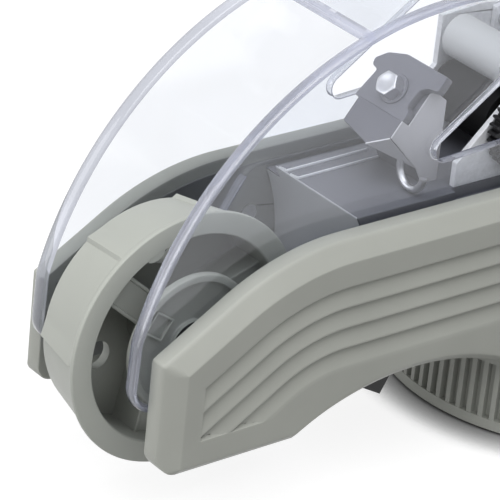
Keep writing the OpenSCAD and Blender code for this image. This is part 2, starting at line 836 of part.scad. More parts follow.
module head_plate() {
    near = -head_w / 2;
    far = head_w / 2;
    color([0.6, 0.6, 0.63]) difference() {
        on_head() rotate([90, 0, 90]) linear_extrude(head_plate_t)
            polygon([[far + plate_far, -head_lip_top], [far, tab_low], [far + tab_out, tab_low],
                [far + tab_out, tab_up], [far, plate_up - plate_corner[1]], [far - plate_corner[0], plate_up],
                [near - wing_out, plate_up], [near - wing_out, wing_low], [near, wing_low],
                [near + notch_in, wing_low - notch_slope], [near + notch_in, -notch_low],
                [near, -notch_low - notch_slope], [near, -head_lip_top]]);
        bolt_hole();
    }
}

module head_washer() {
    color(steel) on_head() translate([-washer_t, 0, 0]) rotate([0, 90, 0]) difference() {
        cylinder(r = washer_r, h = washer_t);
        translate([0, 0, -1]) cylinder(r = screw_r + run_clear, h = washer_t + 2);
    }
}

module head_bolt() {
    color(steel) on_head() translate([-washer_t, 0, 0]) rotate([0, 90, 0]) {
        translate([0, 0, -bolt_head_t]) cylinder(r = bolt_af / sqrt(3), h = bolt_head_t, $fn = 6);
        translate([0, 0, -eps]) cylinder(r = screw_r, h = washer_t + head_plate_t + bolt_shank_l);
    }
}

// Wire hook under the head that leads the tape over the deck
loop_r = 5.3;
wire_r = 1.2;
loop_leg = 9;
loop_gap = 0.3;
loop_out = 3;
loop_x = bolt_x - 1;
loop_y = -head_w / 2 - loop_out;
loop_z = deck_z + loop_r + wire_r + loop_gap;

module loop_pin() { translate([loop_x, loop_y + loop_r, loop_z]) cylinder(r = wire_r, h = loop_leg); }

module tape_loop() {
    color(steel) {
        translate([loop_x, loop_y, loop_z]) rotate([90, 0, 90]) rotate(180) rotate_extrude(angle = 180)
            translate([loop_r, 0]) circle(r = wire_r);
        loop_pin();
    }
}

// Feed and cutting mechanism
plate_in = 15;
plate_out = 17;
gear_in = plate_out + 0.6;
gear_t = 3.6;
mech_front = -11;
feed_x = -feed_back;
feed_z = deck_z + feed_up;
pinch_z = feed_z + feed_r + pinch_r + nip_gap;
feed_teeth = 30;
idler_teeth = 20;
pinion_teeth = 12;
sector_teeth = 30;
mesh_gap = 0.12;
function pitch_r(n) = gear_m * n / 2;
function mesh_d(a, b) = pitch_r(a) + pitch_r(b) + mesh_gap;
idler_dir = -15;
idler_x = feed_x + mesh_d(feed_teeth, idler_teeth) * cos(idler_dir);
idler_z = feed_z + mesh_d(feed_teeth, idler_teeth) * sin(idler_dir);
pinion_dir = 5;
pinion_x = idler_x + mesh_d(idler_teeth, pinion_teeth) * cos(pinion_dir);
pinion_z = idler_z + mesh_d(idler_teeth, pinion_teeth) * sin(pinion_dir);
cutter_x = -cutter_back;
cutter_z = deck_z + cutter_up;
cut_pinion_z = cutter_z - mesh_d(sector_teeth, pinion_teeth);
idler_turn = idler_dir + 180 - 180 / idler_teeth;
idler_step = 360 / idler_teeth;
pinion_phase = (pinion_dir - idler_turn) - floor((pinion_dir - idler_turn) / idler_step) * idler_step;
pinion_turn = pinion_dir + 180 + (pinion_phase * idler_teeth - 180) / pinion_teeth;
idler_pin_r = 2;
motor_r = 9;
cut_motor_r = 6;
motor_shaft_r = 1;
motor_l = 28;
cut_motor_l = 18;
shaft_in = 4;
shaft_out = 1;

// Involute gear outline, one tooth centred on the x axis
function inv(rb, r) = let (c = min(1, rb / r)) tan(acos(c)) * 180 / PI - acos(c);
function gear_loop(n) = let (rp = pitch_r(n), rb = rp * cos(20),
    ra = rp + gear_m * 0.95, rr = rp - gear_m * 1.2, half = 90 / n - 0.05 / rp * 180 / PI + inv(rb, rp))
    [for (i = [0:n - 1]) for (q = [0:9])
        let (s = q < 5 ? q : 9 - q, r = s == 0 ? rr : max(rb, rr) + (ra - max(rb, rr)) * (s - 1) / 3,
             a = i * 360 / n + (q < 5 ? -1 : 1) * (half - inv(rb, max(r, rb))))
        [r * cos(a), r * sin(a)]];

module gear(n, x, z, turn, y0, y1, bore) {
    difference() {
        slab(y0, y1) translate([x, z]) rotate(turn) polygon(gear_loop(n));
        ycyl(x, z, bore, y0 - 1, y1 + 1);
    }
}

module mech_plate(y0, y1) {
    difference() {
        slab(y0, y1) polygon([[mech_rear + 1, deck_z], [mech_front, deck_z], [mech_front, deck_z + 24],
            [cutter_x + 8, cutter_z + 7], [feed_x - 6, pinch_z + 7], [feed_x - 6, feed_z + 8],
            [mech_rear + 1, deck_z + 8]]);
        for (p = [[feed_x, feed_z], [feed_x, pinch_z]])
            ycyl(p[0], p[1], shaft_r + run_clear, y0 - 1, y1 + 1);
        ycyl(cutter_x, cutter_z, cutter_shaft_r + run_clear, y0 - 1, y1 + 1);
        ycyl(idler_x, idler_z, idler_pin_r, y0 - 1, y1 + 1);
        ycyl(pinion_x, pinion_z, motor_shaft_r + 1, y0 - 1, y1 + 1);
        ycyl(cutter_x, cut_pinion_z, motor_shaft_r + 1, y0 - 1, y1 + 1);
    }
}
module near_mech_plate() { color(steel) mech_plate(-plate_out, -plate_in); }
module far_mech_plate() { color(steel) mech_plate(plate_in, plate_out); }

module feed_shaft() {
    color(steel) ycyl(feed_x, feed_z, shaft_r, -gear_in - gear_t, plate_out + shaft_out);
}
module feed_roller() {
    color(black) difference() {
        ycyl(feed_x, feed_z, feed_r, -roller_w / 2, roller_w / 2);
        ycyl(feed_x, feed_z, shaft_r, -roller_w, roller_w);
    }
}
module feed_gear() {
    color(black) gear(feed_teeth, feed_x, feed_z, idler_dir, -gear_in - gear_t, -gear_in, shaft_r);
}
module pinch_shaft() {
    color(steel) ycyl(feed_x, pinch_z, shaft_r, -plate_out - shaft_out, plate_out + shaft_out);
}
module pinch_roller() {
    color(shade) difference() {
        ycyl(feed_x, pinch_z, pinch_r, -roller_w / 2, roller_w / 2);
        ycyl(feed_x, pinch_z, shaft_r, -roller_w, roller_w);
    }
}
module idler_gear() {
    color(black) gear(idler_teeth, idler_x, idler_z, idler_turn, -gear_in - gear_t, -gear_in,
                      idler_pin_r + run_clear);
}
module idler_pin() { color(steel) ycyl(idler_x, idler_z, idler_pin_r, -gear_in - gear_t, -plate_in); }
module motor_pinion() {
    color(steel) {
        gear(pinion_teeth, pinion_x, pinion_z, pinion_turn, -gear_in - gear_t, -gear_in, motor_shaft_r);
        ycyl(pinion_x, pinion_z, motor_shaft_r, -gear_in - gear_t, -plate_in + shaft_in);
    }
}
module feed_motor() {
    color(steel) difference() {
        ycyl(pinion_x, pinion_z, motor_r, -plate_in, -plate_in + motor_l);
        ycyl(pinion_x, pinion_z, motor_shaft_r + run_clear, -plate_in - 1,
             -plate_in + shaft_in + run_clear);
    }
}

// Cutter
arm_bar = 1.6;
arm_y = plate_in - 0.3;
arm_rear = 4;
arm_crown = 5;
arm_tip = 8;
arm_tip_lo = 2;
arm_tip_l = 3;
blade_x = -blade_back;
blade_up = 28;
blade_z = deck_z + blade_up;
blade_t = 0.8;
blade_h = 7;
blade_bevel = 0.5;
nip_z = feed_z + feed_r;
// Cutting edge of the moving blade at the end of its swing
edge_dx = blade_x - cutter_x;
edge_dz = blade_z - blade_bevel - cutter_z;
edge_x = cutter_x + edge_dx * cos(cutter_swing) + edge_dz * sin(cutter_swing);
edge_z = cutter_z - edge_dx * sin(cutter_swing) + edge_dz * cos(cutter_swing);
shear_gap = 0.5;
shear_lap = 1.5;
fixed_t = 1.2;
sector_hub_r = 6;
sector_half = 14;
sector_drop = 16;
guard_gap = 0.5;
guard_t = 3;
guard_up = 14;
mouth_down = 3;
mouth_up = 6;

module cutter_shaft() {
    color(steel) ycyl(cutter_x, cutter_z, cutter_shaft_r, -plate_out - shaft_out, gear_in + gear_t);
}
module cutter_arm() {
    color(steel) difference() {
        union() {
            for (y = [-arm_y, arm_y - arm_bar]) slab(y, y + arm_bar) polygon([
                [cutter_x - arm_rear, cutter_z - arm_rear], [blade_x, blade_z + arm_tip_lo],
                [blade_x, blade_z + arm_tip], [cutter_x, cutter_z + arm_crown],
                [cutter_x - arm_rear, cutter_z + arm_rear]]);
            box([blade_x - arm_tip_l, -arm_y, blade_z + arm_tip_lo], [blade_x, arm_y, blade_z + arm_tip]);
        }
        ycyl(cutter_x, cutter_z, cutter_shaft_r, -arm_y - 1, arm_y + 1);
    }
}
module cutter_blade() {
    color(steel) slab(-roller_w / 2, roller_w / 2)
        polygon([[blade_x, blade_z - blade_bevel], [blade_x + blade_t, blade_z],
                 [blade_x + blade_t, blade_z + blade_h], [blade_x, blade_z + blade_h]]);
}
module cutter_sector() {
    color(steel) intersection() {
        gear(sector_teeth, cutter_x, cutter_z, -90, gear_in, gear_in + gear_t, cutter_shaft_r);
        slab(gear_in - 1, gear_in + gear_t + 1) translate([cutter_x, cutter_z]) {
            circle(r = sector_hub_r);
            polygon([[0, sector_hub_r], [-sector_half, -sector_drop], [sector_half, -sector_drop]]);
        }
    }
}
module cutter_pinion() {
    color(steel) {
        gear(pinion_teeth, cutter_x, cut_pinion_z, 90 - 180 / pinion_teeth, gear_in, gear_in + gear_t,
             motor_shaft_r);
        ycyl(cutter_x, cut_pinion_z, motor_shaft_r, plate_in - shaft_in, gear_in + gear_t);
    }
}
module cutter_motor() {
    color(steel) difference() {
        ycyl(cutter_x, cut_pinion_z, cut_motor_r, plate_in - cut_motor_l, plate_in);
        ycyl(cutter_x, cut_pinion_z, motor_shaft_r + run_clear, plate_in - shaft_in - run_clear,
             plate_in + 1);
    }
}
module fixed_blade() {
    color(steel) box([edge_x - shear_gap - fixed_t, -roller_w / 2, deck_z],
                     [edge_x - shear_gap, roller_w / 2, edge_z + shear_lap]);
}

module outlet_guard() {
    color(pale) difference() {
        box([cover_front + guard_gap, -plate_out, arm_top_z],
            [cover_front + guard_gap + guard_t, plate_out, nip_z + guard_up]);
        box([cover_front, -roller_w / 2, nip_z - mouth_down],
            [cover_front + guard_gap + guard_t + 1, roller_w / 2, nip_z + mouth_up]);
    }
}

base_ring();
base_plate();
ballast_disc();
rubber_feet();
base_screws();
near_frame_plate();
far_frame_plate();
near_side_shell();
far_side_shell();
shell_screws();
deck();
cradle();
belly_pan();
front_housing();
power_inlet();
reel_drum();
reel_end_disc();
reel_axle();
axle_spacers();
pivot_bushes();
clear_cover();
head_block();
head_plate();
head_bolt();
head_washer();
tape_loop();
near_mech_plate();
far_mech_plate();
feed_shaft();
feed_roller();
feed_gear();
pinch_shaft();
pinch_roller();
idler_gear();
idler_pin();
motor_pinion();
feed_motor();
cutter_shaft();
cutter_arm();
cutter_blade();
cutter_sector();
cutter_pinion();
cutter_motor();
fixed_blade();
outlet_guard();
display_window();
display_module();
control_board();
feed_button();
cut_button();
mode_button();
switch_case();
power_rocker();
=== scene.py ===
import json
import math

import bmesh
import bpy
from mathutils import Euler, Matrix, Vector
from mathutils.geometry import tessellate_polygon


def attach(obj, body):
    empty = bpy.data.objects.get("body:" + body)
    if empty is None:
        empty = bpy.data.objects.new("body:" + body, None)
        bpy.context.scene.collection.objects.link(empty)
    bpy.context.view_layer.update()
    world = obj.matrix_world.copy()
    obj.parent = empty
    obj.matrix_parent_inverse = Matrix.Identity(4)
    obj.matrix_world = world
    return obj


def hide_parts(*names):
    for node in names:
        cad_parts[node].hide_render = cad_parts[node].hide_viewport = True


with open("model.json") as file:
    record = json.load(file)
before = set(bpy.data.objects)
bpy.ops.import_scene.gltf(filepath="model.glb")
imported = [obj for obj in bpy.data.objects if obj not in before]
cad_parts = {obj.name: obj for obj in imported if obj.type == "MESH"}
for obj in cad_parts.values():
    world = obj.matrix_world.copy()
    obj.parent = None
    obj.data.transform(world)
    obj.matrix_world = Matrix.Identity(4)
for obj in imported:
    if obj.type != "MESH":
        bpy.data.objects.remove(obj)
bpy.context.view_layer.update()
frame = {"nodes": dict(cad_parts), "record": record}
nodes = frame["nodes"]
mm = 0.001
print("frame loaded,", len(nodes), "nodes")


# Camera at the photograph's viewing angle
cameraFacts = {
    "place": (-693.449, -652.668, 511.824),
    "turn": (62.6884, -5.3617, -37.5716),
    "lens": 236.18,
    "sensor": 36.0,
    "clip": (0.01, 20),
}


def setCamera(facts):
    data = bpy.data.cameras.new("camera")
    data.sensor_width = facts["sensor"]
    data.lens = facts["lens"]
    data.clip_start, data.clip_end = facts["clip"]
    camera = bpy.data.objects.new("camera", data)
    camera.location = Vector(facts["place"]) * mm
    camera.rotation_euler = Euler([math.radians(a) for a in facts["turn"]], "XYZ")
    bpy.context.scene.collection.objects.link(camera)
    bpy.context.scene.camera = camera


setCamera(cameraFacts)
bpy.context.scene.view_settings.view_transform = "Standard"
print("camera set")


# Node helpers for the finishes
def newMaterial(name):
    material = bpy.data.materials.new(name)
    material.use_nodes = True
    tree = material.node_tree
    for node in list(tree.nodes):
        tree.nodes.remove(node)
    out = addNode(tree, "OutputMaterial")
    return material, tree, out.inputs["Surface"]


def addNode(tree, kind, **values):
    node = tree.nodes.new("ShaderNode" + kind)
    for key, value in values.items():
        if key in node.inputs:
            node.inputs[key].default_value = value
        else:
            setattr(node, key, value)
    return node


def join(source, target):
    target.id_data.links.new(source, target)


def noise(tree, scale, detail=2.0, roughness=0.5, stretch=(1, 1, 1)):
    place = addNode(tree, "TexCoord")
    mapping = addNode(tree, "Mapping")
    mapping.inputs["Scale"].default_value = stretch
    texture = addNode(tree, "TexNoise", Scale=scale, Detail=detail, Roughness=roughness)
    join(place.outputs["Object"], mapping.inputs["Vector"])
    join(mapping.outputs["Vector"], texture.inputs["Vector"])
    return texture.outputs["Fac"]


def ramp(tree, source, stops):
    node = addNode(tree, "ValToRGB")
    elements = node.color_ramp.elements
    while len(elements) < len(stops):
        elements.new(0.5)
    for element, (place, colour) in zip(elements, stops):
        element.position = place
        element.color = (*colour, 1)
    join(source, node.inputs["Fac"])
    return node.outputs["Color"]


def span(tree, source, low, high, first=0.0, last=1.0):
    node = addNode(tree, "MapRange")
    for key, value in (("From Min", first), ("From Max", last), ("To Min", low), ("To Max", high)):
        node.inputs[key].default_value = value
    join(source, node.inputs["Value"])
    return node.outputs["Result"]


def reckon(tree, operation, first, second):
    node = addNode(tree, "Math", operation=operation)
    join(first, node.inputs[0])
    if isinstance(second, float):
        node.inputs[1].default_value = second
    else:
        join(second, node.inputs[1])
    return node.outputs[0]


def multiplied(tree, first, second):
    node = addNode(tree, "Mix", data_type="RGBA", blend_type="MULTIPLY")
    node.inputs["Factor"].default_value = 1.0
    join(first, node.inputs["A"])
    join(second, node.inputs["B"])
    return node.outputs["Result"]


def picked(tree, share, first, second):
    node = addNode(tree, "MixShader")
    join(share, node.inputs["Fac"])
    join(first.outputs["BSDF"], node.inputs[1])
    join(second.outputs["BSDF"], node.inputs[2])
    return node.outputs["Shader"]


# Uneven roughness and fine bumps of a solid finish
def addTexture(tree, body, look, patches, grain):
    low, high = [look["rough"] + spread for spread in look["roughSpread"]]
    join(span(tree, patches, low, high), body.inputs["Roughness"])
    bump = addNode(tree, "Bump", Strength=look["bump"], Distance=look["bumpDeep"])
    join(grain, bump.inputs["Height"])
    join(bump.outputs["Normal"], body.inputs["Normal"])


def shade(rgb, share):
    return tuple(min(1.0, c * share) for c in rgb)


def linear(rgb):
    shares = [c / 255 for c in rgb]
    return tuple(c / 12.92 if c <= 0.04045 else ((c + 0.055) / 1.055) ** 2.4 for c in shares)


# Moulded plastic: faint mottling, fine grain, sharp edges made paler as a painted highlight, corners and
# hollows made darker as painted shade
plasticLook = {
    "ior": 1.49, "shine": 0.4, "rough": 0.45, "roughScale": 140, "roughSpread": (-0.06, 0.08),
    # Painted highlight: how much sharp edges are lightened, and the tone they are lightened to
    "patch": 45, "patchTones": (0.965, 1.03), "paintedEdgeHighlight": 0.35, "paintedEdgeTone": 1.18,
    # Painted shade: darkest tone in corners and hollows, how far the occlusion looks, and whether only the
    # piece's own mesh counts
    "corner": 0.5, "paintedShadeReach": 0.03, "ownPaintedShadeOnly": False,
    "grain": 2600, "bump": 0.12, "bumpDeep": 0.0001,
}


def mouldedPlastic(name, rgb, changes):
    look = {**plasticLook, **changes}
    colour = linear(rgb)
    material, tree, surface = newMaterial(name)
    body = addNode(tree, "BsdfPrincipled", IOR=look["ior"])
    body.inputs["Specular IOR Level"].default_value = look["shine"]
    dark, pale = [shade(colour, tone) for tone in look["patchTones"]]
    tone = ramp(tree, noise(tree, look["patch"], 3), [(0.3, dark), (0.7, pale)])
    # Painted highlight: edges with high pointiness are blended towards a paler tone
    edge = addNode(tree, "NewGeometry").outputs["Pointiness"]
    edgeHighlightMask = ramp(tree, edge, [(0.5, (0, 0, 0)), (0.56, (1, 1, 1))])
    blend = addNode(tree, "Mix", data_type="RGBA")
    join(span(tree, edgeHighlightMask, 0, look["paintedEdgeHighlight"]), blend.inputs["Factor"])
    join(tone, blend.inputs["A"])
    blend.inputs["B"].default_value = (*shade(colour, look["paintedEdgeTone"]), 1)
    # Painted shade: base colour darkened where ambient occlusion finds nearby surfaces
    corner = addNode(tree, "AmbientOcclusion", samples=6, Distance=look["paintedShadeReach"])
    corner.only_local = look["ownPaintedShadeOnly"]
    depth = ramp(tree, corner.outputs["AO"], [(0.0, [look["corner"]] * 3), (0.7, (1, 1, 1))])
    join(multiplied(tree, blend.outputs["Result"], depth), body.inputs["Base Color"])
    addTexture(tree, body, look, noise(tree, look["roughScale"], 3), noise(tree, look["grain"], 2))
    join(body.outputs["BSDF"], surface)
    return material


# Drawn or machined metal: fine streaks along one direction
metalLook = {
    "metal": 1.0, "rough": 0.32, "roughSpread": (-0.08, 0.1),
    "streakScale": 900, "streakRough": 0.6, "stretch": (1, 0.04, 1), "tones": (0.9, 1.06),
    "bump": 0.08, "bumpDeep": 0.00005,
}


def brushedMetal(name, colour, changes):
    look = {**metalLook, **changes}
    material, tree, surface = newMaterial(name)
    body = addNode(tree, "BsdfPrincipled", Metallic=look["metal"])
    dark, pale = [shade(colour, tone) for tone in look["tones"]]
    streaks = noise(tree, look["streakScale"], 3, look["streakRough"], look["stretch"])
    join(ramp(tree, streaks, [(0.3, dark), (0.7, pale)]), body.inputs["Base Color"])
    addTexture(tree, body, look, streaks, streaks)
    join(body.outputs["BSDF"], surface)
    return material


# Clear acrylic: see-through sheet, darker where seen along its surface, with a veil of reflected light
clearLook = {
    "tints": [(0.0, (0.958, 0.966, 0.982)), (0.9, (0.945, 0.958, 0.98))],
    "cloudScale": 30, "clouds": [(0.3, (0.985, 0.985, 0.985)), (0.7, (1, 1, 1))],
    "veil": (0.95, 0.955, 0.98, 1), "rough": (0.06, 0.12), "roughScale": 220,
    "power": 4.0, "low": 0.052, "high": 0.7,
}


def clearAcrylic(name, look):
    material, tree, surface = newMaterial(name)
    through = addNode(tree, "BsdfTransparent")
    facing = addNode(tree, "LayerWeight", Blend=0.5).outputs["Facing"]
    clouds = ramp(tree, noise(tree, look["cloudScale"], 2), look["clouds"])
    join(multiplied(tree, ramp(tree, facing, look["tints"]), clouds), through.inputs["Color"])
    gloss = addNode(tree, "BsdfPrincipled", Metallic=1.0)
    gloss.inputs["Base Color"].default_value = look["veil"]
    join(span(tree, noise(tree, look["roughScale"], 3), *look["rough"]), gloss.inputs["Roughness"])
    share = span(tree, reckon(tree, "POWER", facing, look["power"]), look["low"], look["high"])
    join(picked(tree, share, through, gloss), surface)
    return material


# Thick polished edge of the cover: partly milky, partly bending the light, and open to shadow rays
rimLook = {
    "tint": (0.68, 0.7, 0.81), "dark": 0.6, "bands": 16, "passing": (1.0, 0.36), "ior": 1.45, "rough": 0.04,
    "coat": 1.0, "haze": (0.6, 0.63, 0.72, 1), "straight": 0.14,
}


def polishedEdge(name, look):
    material, tree, surface = newMaterial(name)
    body = addNode(tree, "BsdfPrincipled", IOR=look["ior"], Roughness=look["rough"])
    body.inputs["Coat Weight"].default_value = look["coat"]
    bands = noise(tree, look["bands"], 2)
    tint = ramp(tree, bands, [(0.36, shade(look["tint"], look["dark"])), (0.64, look["tint"])])
    join(tint, body.inputs["Base Color"])
    join(span(tree, bands, *look["passing"]), body.inputs["Transmission Weight"])
    clear = addNode(tree, "BsdfTransparent", Color=look["haze"])
    shadow = addNode(tree, "LightPath").outputs["Is Shadow Ray"]
    straight = span(tree, shadow, look["straight"], 1.0)
    join(picked(tree, straight, body, clear), surface)
    return material


# Material name, colour (as shown for plastics, linear for metals) and what differs from the plain look;
# corner is the darkest tone of the painted shade in corners and hollows
plastics = {
    "shell": ("greyShell", (176, 178, 171), {"rough": 0.42}),
    "frame": ("deckGrey", (142, 144, 143), {"rough": 0.5, "corner": 0.4}),
    # Reel: deep painted shade inside the drum, from its own mesh only
    "reel": ("reelGrey", (180, 183, 176), {"rough": 0.38, "patch": 30, "corner": 0.3, "ownPaintedShadeOnly": True}),
    # Black plastic: stronger painted highlight on its sharp edges
    "black": ("blackPlastic", (30, 30, 32), {"paintedEdgeHighlight": 0.5}),
    "rubber": ("blackRubber", (24, 24, 25), {"rough": 0.8, "shine": 0.2, "bump": 0.3}),
    "zinc": ("headGrey", (127, 127, 135), {"rough": 0.35, "shine": 0.5}),
    # Dark copy of the head metal, painted shade on the block's lower faces
    "headDark": ("headDark", (114, 114, 122), {"rough": 0.4}),
    # Light copy of the head metal, painted light on the near cheek and painted highlight on the strip
    "headLight": ("headLight", (232, 231, 235), {"rough": 0.35, "shine": 0.5}),
    # Darker copy of the frame grey, painted shade on the deck inside the cover
    "deckDark": ("deckDark", (115, 116, 123), {"rough": 0.5, "corner": 0.8}),
    # Near-white copy of the frame grey, painted highlight on the deck ribs
    "cradlePale": ("cradlePale", (232, 234, 239), {"rough": 0.5, "corner": 0.95}),
    # Paler copy of the frame grey, painted light on the cradle and its lining
    "cradleGrey": ("cradleGrey", (198, 200, 205), {"rough": 0.5, "corner": 0.8}),
    "rollerGrey": ("rollerGrey", (214, 215, 214), {"rough": 0.6, "shine": 0.3, "corner": 0.8}),
    "baseGrey": ("baseGrey", (186, 188, 181), {"rough": 0.42, "corner": 0.62}),
    "keyGrey": ("keyGrey", (92, 94, 94), {"rough": 0.42}),
    "bezelGrey": ("bezelGrey", (70, 72, 72), {"rough": 0.38}),
    "digitGreen": ("digitGreen", (150, 206, 168), {"rough": 0.4, "bump": 0.02}),
    "board": ("boardGreen", (20, 84, 44), {"rough": 0.35}),
    "glass": ("tintedWindow", (28, 36, 32), {"rough": 0.12, "shine": 0.6, "bump": 0.02}),
}
metals = {
    "steel": ("plainSteel", (0.62, 0.62, 0.64), {}),
    "brightSteel": ("brightSteel", (0.66, 0.66, 0.68), {}),
    # Steel made far paler and barely metallic, as painted light on the mech plates and cutter arm, which
    # sit in shade inside the cover
    "paleSteel": ("paleSteel", (0.88, 0.885, 0.9), {"metal": 0.1, "rough": 0.35, "bump": 0.02}),
}
ownFinish = {
    "near_mech_plate": "paleSteel", "far_mech_plate": "paleSteel", "cutter_arm": "paleSteel",
    "deck": "deckDark", "cradle": "cradleGrey", "pinch_roller": "rollerGrey", "base_ring": "baseGrey",
}

finishes = {"clear": clearAcrylic("clearAcrylic", clearLook), "clearRim": polishedEdge("clearRim", rimLook)}
for maker, table in ((mouldedPlastic, plastics), (brushedMetal, metals)):
    for finishName, (materialName, colour, look) in table.items():
        finishes[finishName] = maker(materialName, colour, look)
slotOf = {part["node"]: part["material_slot"] for part in frame["record"]["subparts"]}
for nodeName, nodeObject in nodes.items():
    nodeObject.data.materials.clear()
    nodeObject.data.materials.append(finishes[ownFinish.get(nodeName, slotOf[nodeName])])
print("finishes made,", len(finishes))


# Mesh helpers
weldReach = 1e-7
bevelFrom = 0.35  # least angle between two faces, in radians, whose edge is bevelled
bevelSteps = 3


def addPiece(name, shape, finish, body, standsFor=(), coat=None, angle=30, bevel=0.0):
    verts, faces = shape
    mesh = bpy.data.meshes.new(name)
    mesh.from_pydata([tuple(c * mm for c in v) for v in verts], [], faces)
    work = bmesh.new()
    work.from_mesh(mesh)
    bmesh.ops.remove_doubles(work, verts=work.verts, dist=weldReach)
    bmesh.ops.dissolve_degenerate(work, edges=work.edges, dist=weldReach)
    bmesh.ops.recalc_face_normals(work, faces=work.faces)
    if bevel:
        sharp = [e for e in work.edges if len(e.link_faces) == 2 and e.calc_face_angle(0) > bevelFrom]
        bmesh.ops.bevel(work, geom=sharp, offset=bevel * mm, segments=bevelSteps, profile=0.5,
                        affect="EDGES", clamp_overlap=True)
    work.to_mesh(mesh)
    work.free()
    mesh.shade_smooth()
    mesh.set_sharp_from_angle(angle=math.radians(angle))
    mesh.materials.append(finishes[coat or finish])
    piece = bpy.data.objects.new(name, mesh)
    bpy.context.scene.collection.objects.link(piece)
    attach(piece, body)
    if standsFor:
        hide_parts(*standsFor)


# Quads between neighbouring loops of equal length
def skin(loops, closed=True, capEnds=False):
    size = len(loops[0])
    verts = [v for loop in loops for v in loop]
    faces = []
    for i in range(len(loops) - 1):
        for j in range(size if closed else size - 1):
            k = (j + 1) % size
            faces.append((i * size + j, i * size + k, (i + 1) * size + k, (i + 1) * size + j))
    if capEnds:
        faces.append(tuple(range(size)))
        faces.append(tuple(range((len(loops) - 1) * size, len(loops) * size)))
    return verts, faces


def solid(loops):
    return skin(loops, True, True)


def merge(*parts):
    verts = []
    faces = []
    for partVerts, partFaces in parts:
        start = len(verts)
        verts += partVerts
        faces += [tuple(i + start for i in face) for face in partFaces]
    return verts, faces


def steps(low, high, count):
    return [low + (high - low) * i / count for i in range(count + 1)]


def around(x, y, radius, degrees):
    turn = math.radians(degrees)
    return (x + radius * math.cos(turn), y + radius * math.sin(turn))


def rectangle(low, high, half):
    return [(low, -half), (high, -half), (high, half), (low, half)]


# Points of a profile by its corners: named radius, named plane and what each point adds to both
def profileOf(corners, radii, planes):
    points = []
    for radius, plane, offsets in corners:
        points += [(radii[radius] + out, planes[plane] + off) for out, off in offsets]
    return points


# Point on a leaning plane: down the slope, across it and off it
def onSlope(facts, u, y, up):
    turn = math.radians(facts["slope"])
    return (facts["x"] + u * math.cos(turn) + up * math.sin(turn), y,
            facts["z"] - u * math.sin(turn) + up * math.cos(turn))


# Arms: outer shells with rounded edges and wedge-shaped flutes
armShape = {
    "endX": -193.5, "noseX": 58.0, "topZ": 88.6, "lowZ": 28.0,
    "bendX": -130.0, "bendZ": 10.6, "bendR": 78.0, "slope": 31.0,
    "ridgeX": 8.0, "panelSlope": 40.0,
    "archX": -101.0, "archZ": -50.3, "archR": 90.0, "heelR": 6.0,
    "yIn": 26.2, "yMid": 32.3, "yOut": 36.7, "innerGap": 0.3, "lowRound": 0.6, "underFlat": 2.0,
    "bevelDrop": 5.3, "endBevel": 6.0, "endRound": 0.5, "endInset": 0.45, "topRound": 0.5, "topPull": 0.5,
    "footBand": 3.6, "footBevel": 2.3, "footDrop": 2.0, "footTuck": 0.15,
    "fluteStart": 13.4, "flutePitch": 6.8, "fluteCount": 4, "fluteX": -181.2, "fluteLow": 38.0,
    "fluteFront": 20.0, "fluteEase": 3.0, "fluteFoot": 0.6, "fluteFrom": 0.3,
}
fluteProfile = [(-0.55, 0.0), (-0.25, 0.03), (-0.05, 0.16), (0.08, 0.8), (0.24, 1.6), (0.55, 1.8),
                (1.3, 1.66), (2.6, 1.28), (4.2, 0.74), (5.3, 0.33), (5.8, 0.14), (6.25, 0.0)]
# Places of the mesh's rows and columns, close together where a surface bends
armMesh = {
    "topEdge": ((0.0, 1.0), (0.3, 0.3), (0.9, 0.0)), "topFlat": (2.0, 0.9), "leastDepth": 0.05,
    "rows": (0.0, 0.12, 0.45, 0.9, 1.8, 3.0, 4.2, 4.8, 5.03, 5.16, 5.3, 5.44, 5.57, 6.0, 8.0, 10.5, 12.4,
             41.5, 43.0),
    "bandShares": (0.0, 0.12, 0.4, 0.7, 1.0), "footRows": (2.6, 2.2, 1.6, 0.9, 0.4, 0.1, 0.0),
    "fromEnd": (0, 0.1, 0.25, 0.5, 1.6, 2.4, 3.2, 4.0, 4.8, 5.5, 5.7, 5.85, 6.0, 6.15, 6.3,
                7.3, 8.4, 9.6, 10.8),
    "atFlutes": (-0.4, -0.05, 0.12, 0.5, 1.2),
    "archRear": (-146.4, -145.6, -145.2, -144.4), "archFront": (-57.2, -56.8, -56.4, -55),
    "fluteEnd": (-3.5, -1.5, 0), "atRidge": (-12, -6, -3, -1.2, -0.3, 0.3, 1.5, 4),
    "toNose": (8, 7.0, 6.3, 6.15, 6.0, 5.85, 5.7, 4.4, 3.2, 2.0, 1.0, 0.5, 0.25, 0.1, 0),
    "runs": (44, 110, 22, 22),
}


def tableValue(table, at):
    for (a, va), (b, vb) in zip(table, table[1:]):
        if a < at <= b:
            return va + (vb - va) * (at - a) / (b - a)
    return 0.0


def armTop(x, depth):
    s = armShape
    turn = math.radians(s["slope"])
    radius = s["bendR"] - depth
    startX = s["bendX"] - radius * math.sin(turn)
    if x >= s["bendX"]:
        z = s["topZ"] - depth
    elif x >= startX:
        z = s["bendZ"] + math.sqrt(radius ** 2 - (x - s["bendX"]) ** 2)
    else:
        z = s["bendZ"] + radius * math.cos(turn) - (startX - x) * math.tan(turn)
    panel = math.radians(s["panelSlope"])
    front = s["topZ"] - (x - s["ridgeX"]) * math.tan(panel) - depth / math.cos(panel)
    return min(z, front)


def armDepth(x, z):
    s = armShape
    if x >= s["bendX"]:
        return s["topZ"] - z
    turn = math.radians(s["slope"])
    dx = x - s["bendX"]
    dz = z - s["bendZ"]
    if -dx * math.cos(turn) > dz * math.sin(turn):
        return s["bendR"] - (-dx * math.sin(turn) + dz * math.cos(turn))
    return s["bendR"] - math.hypot(dx, dz)


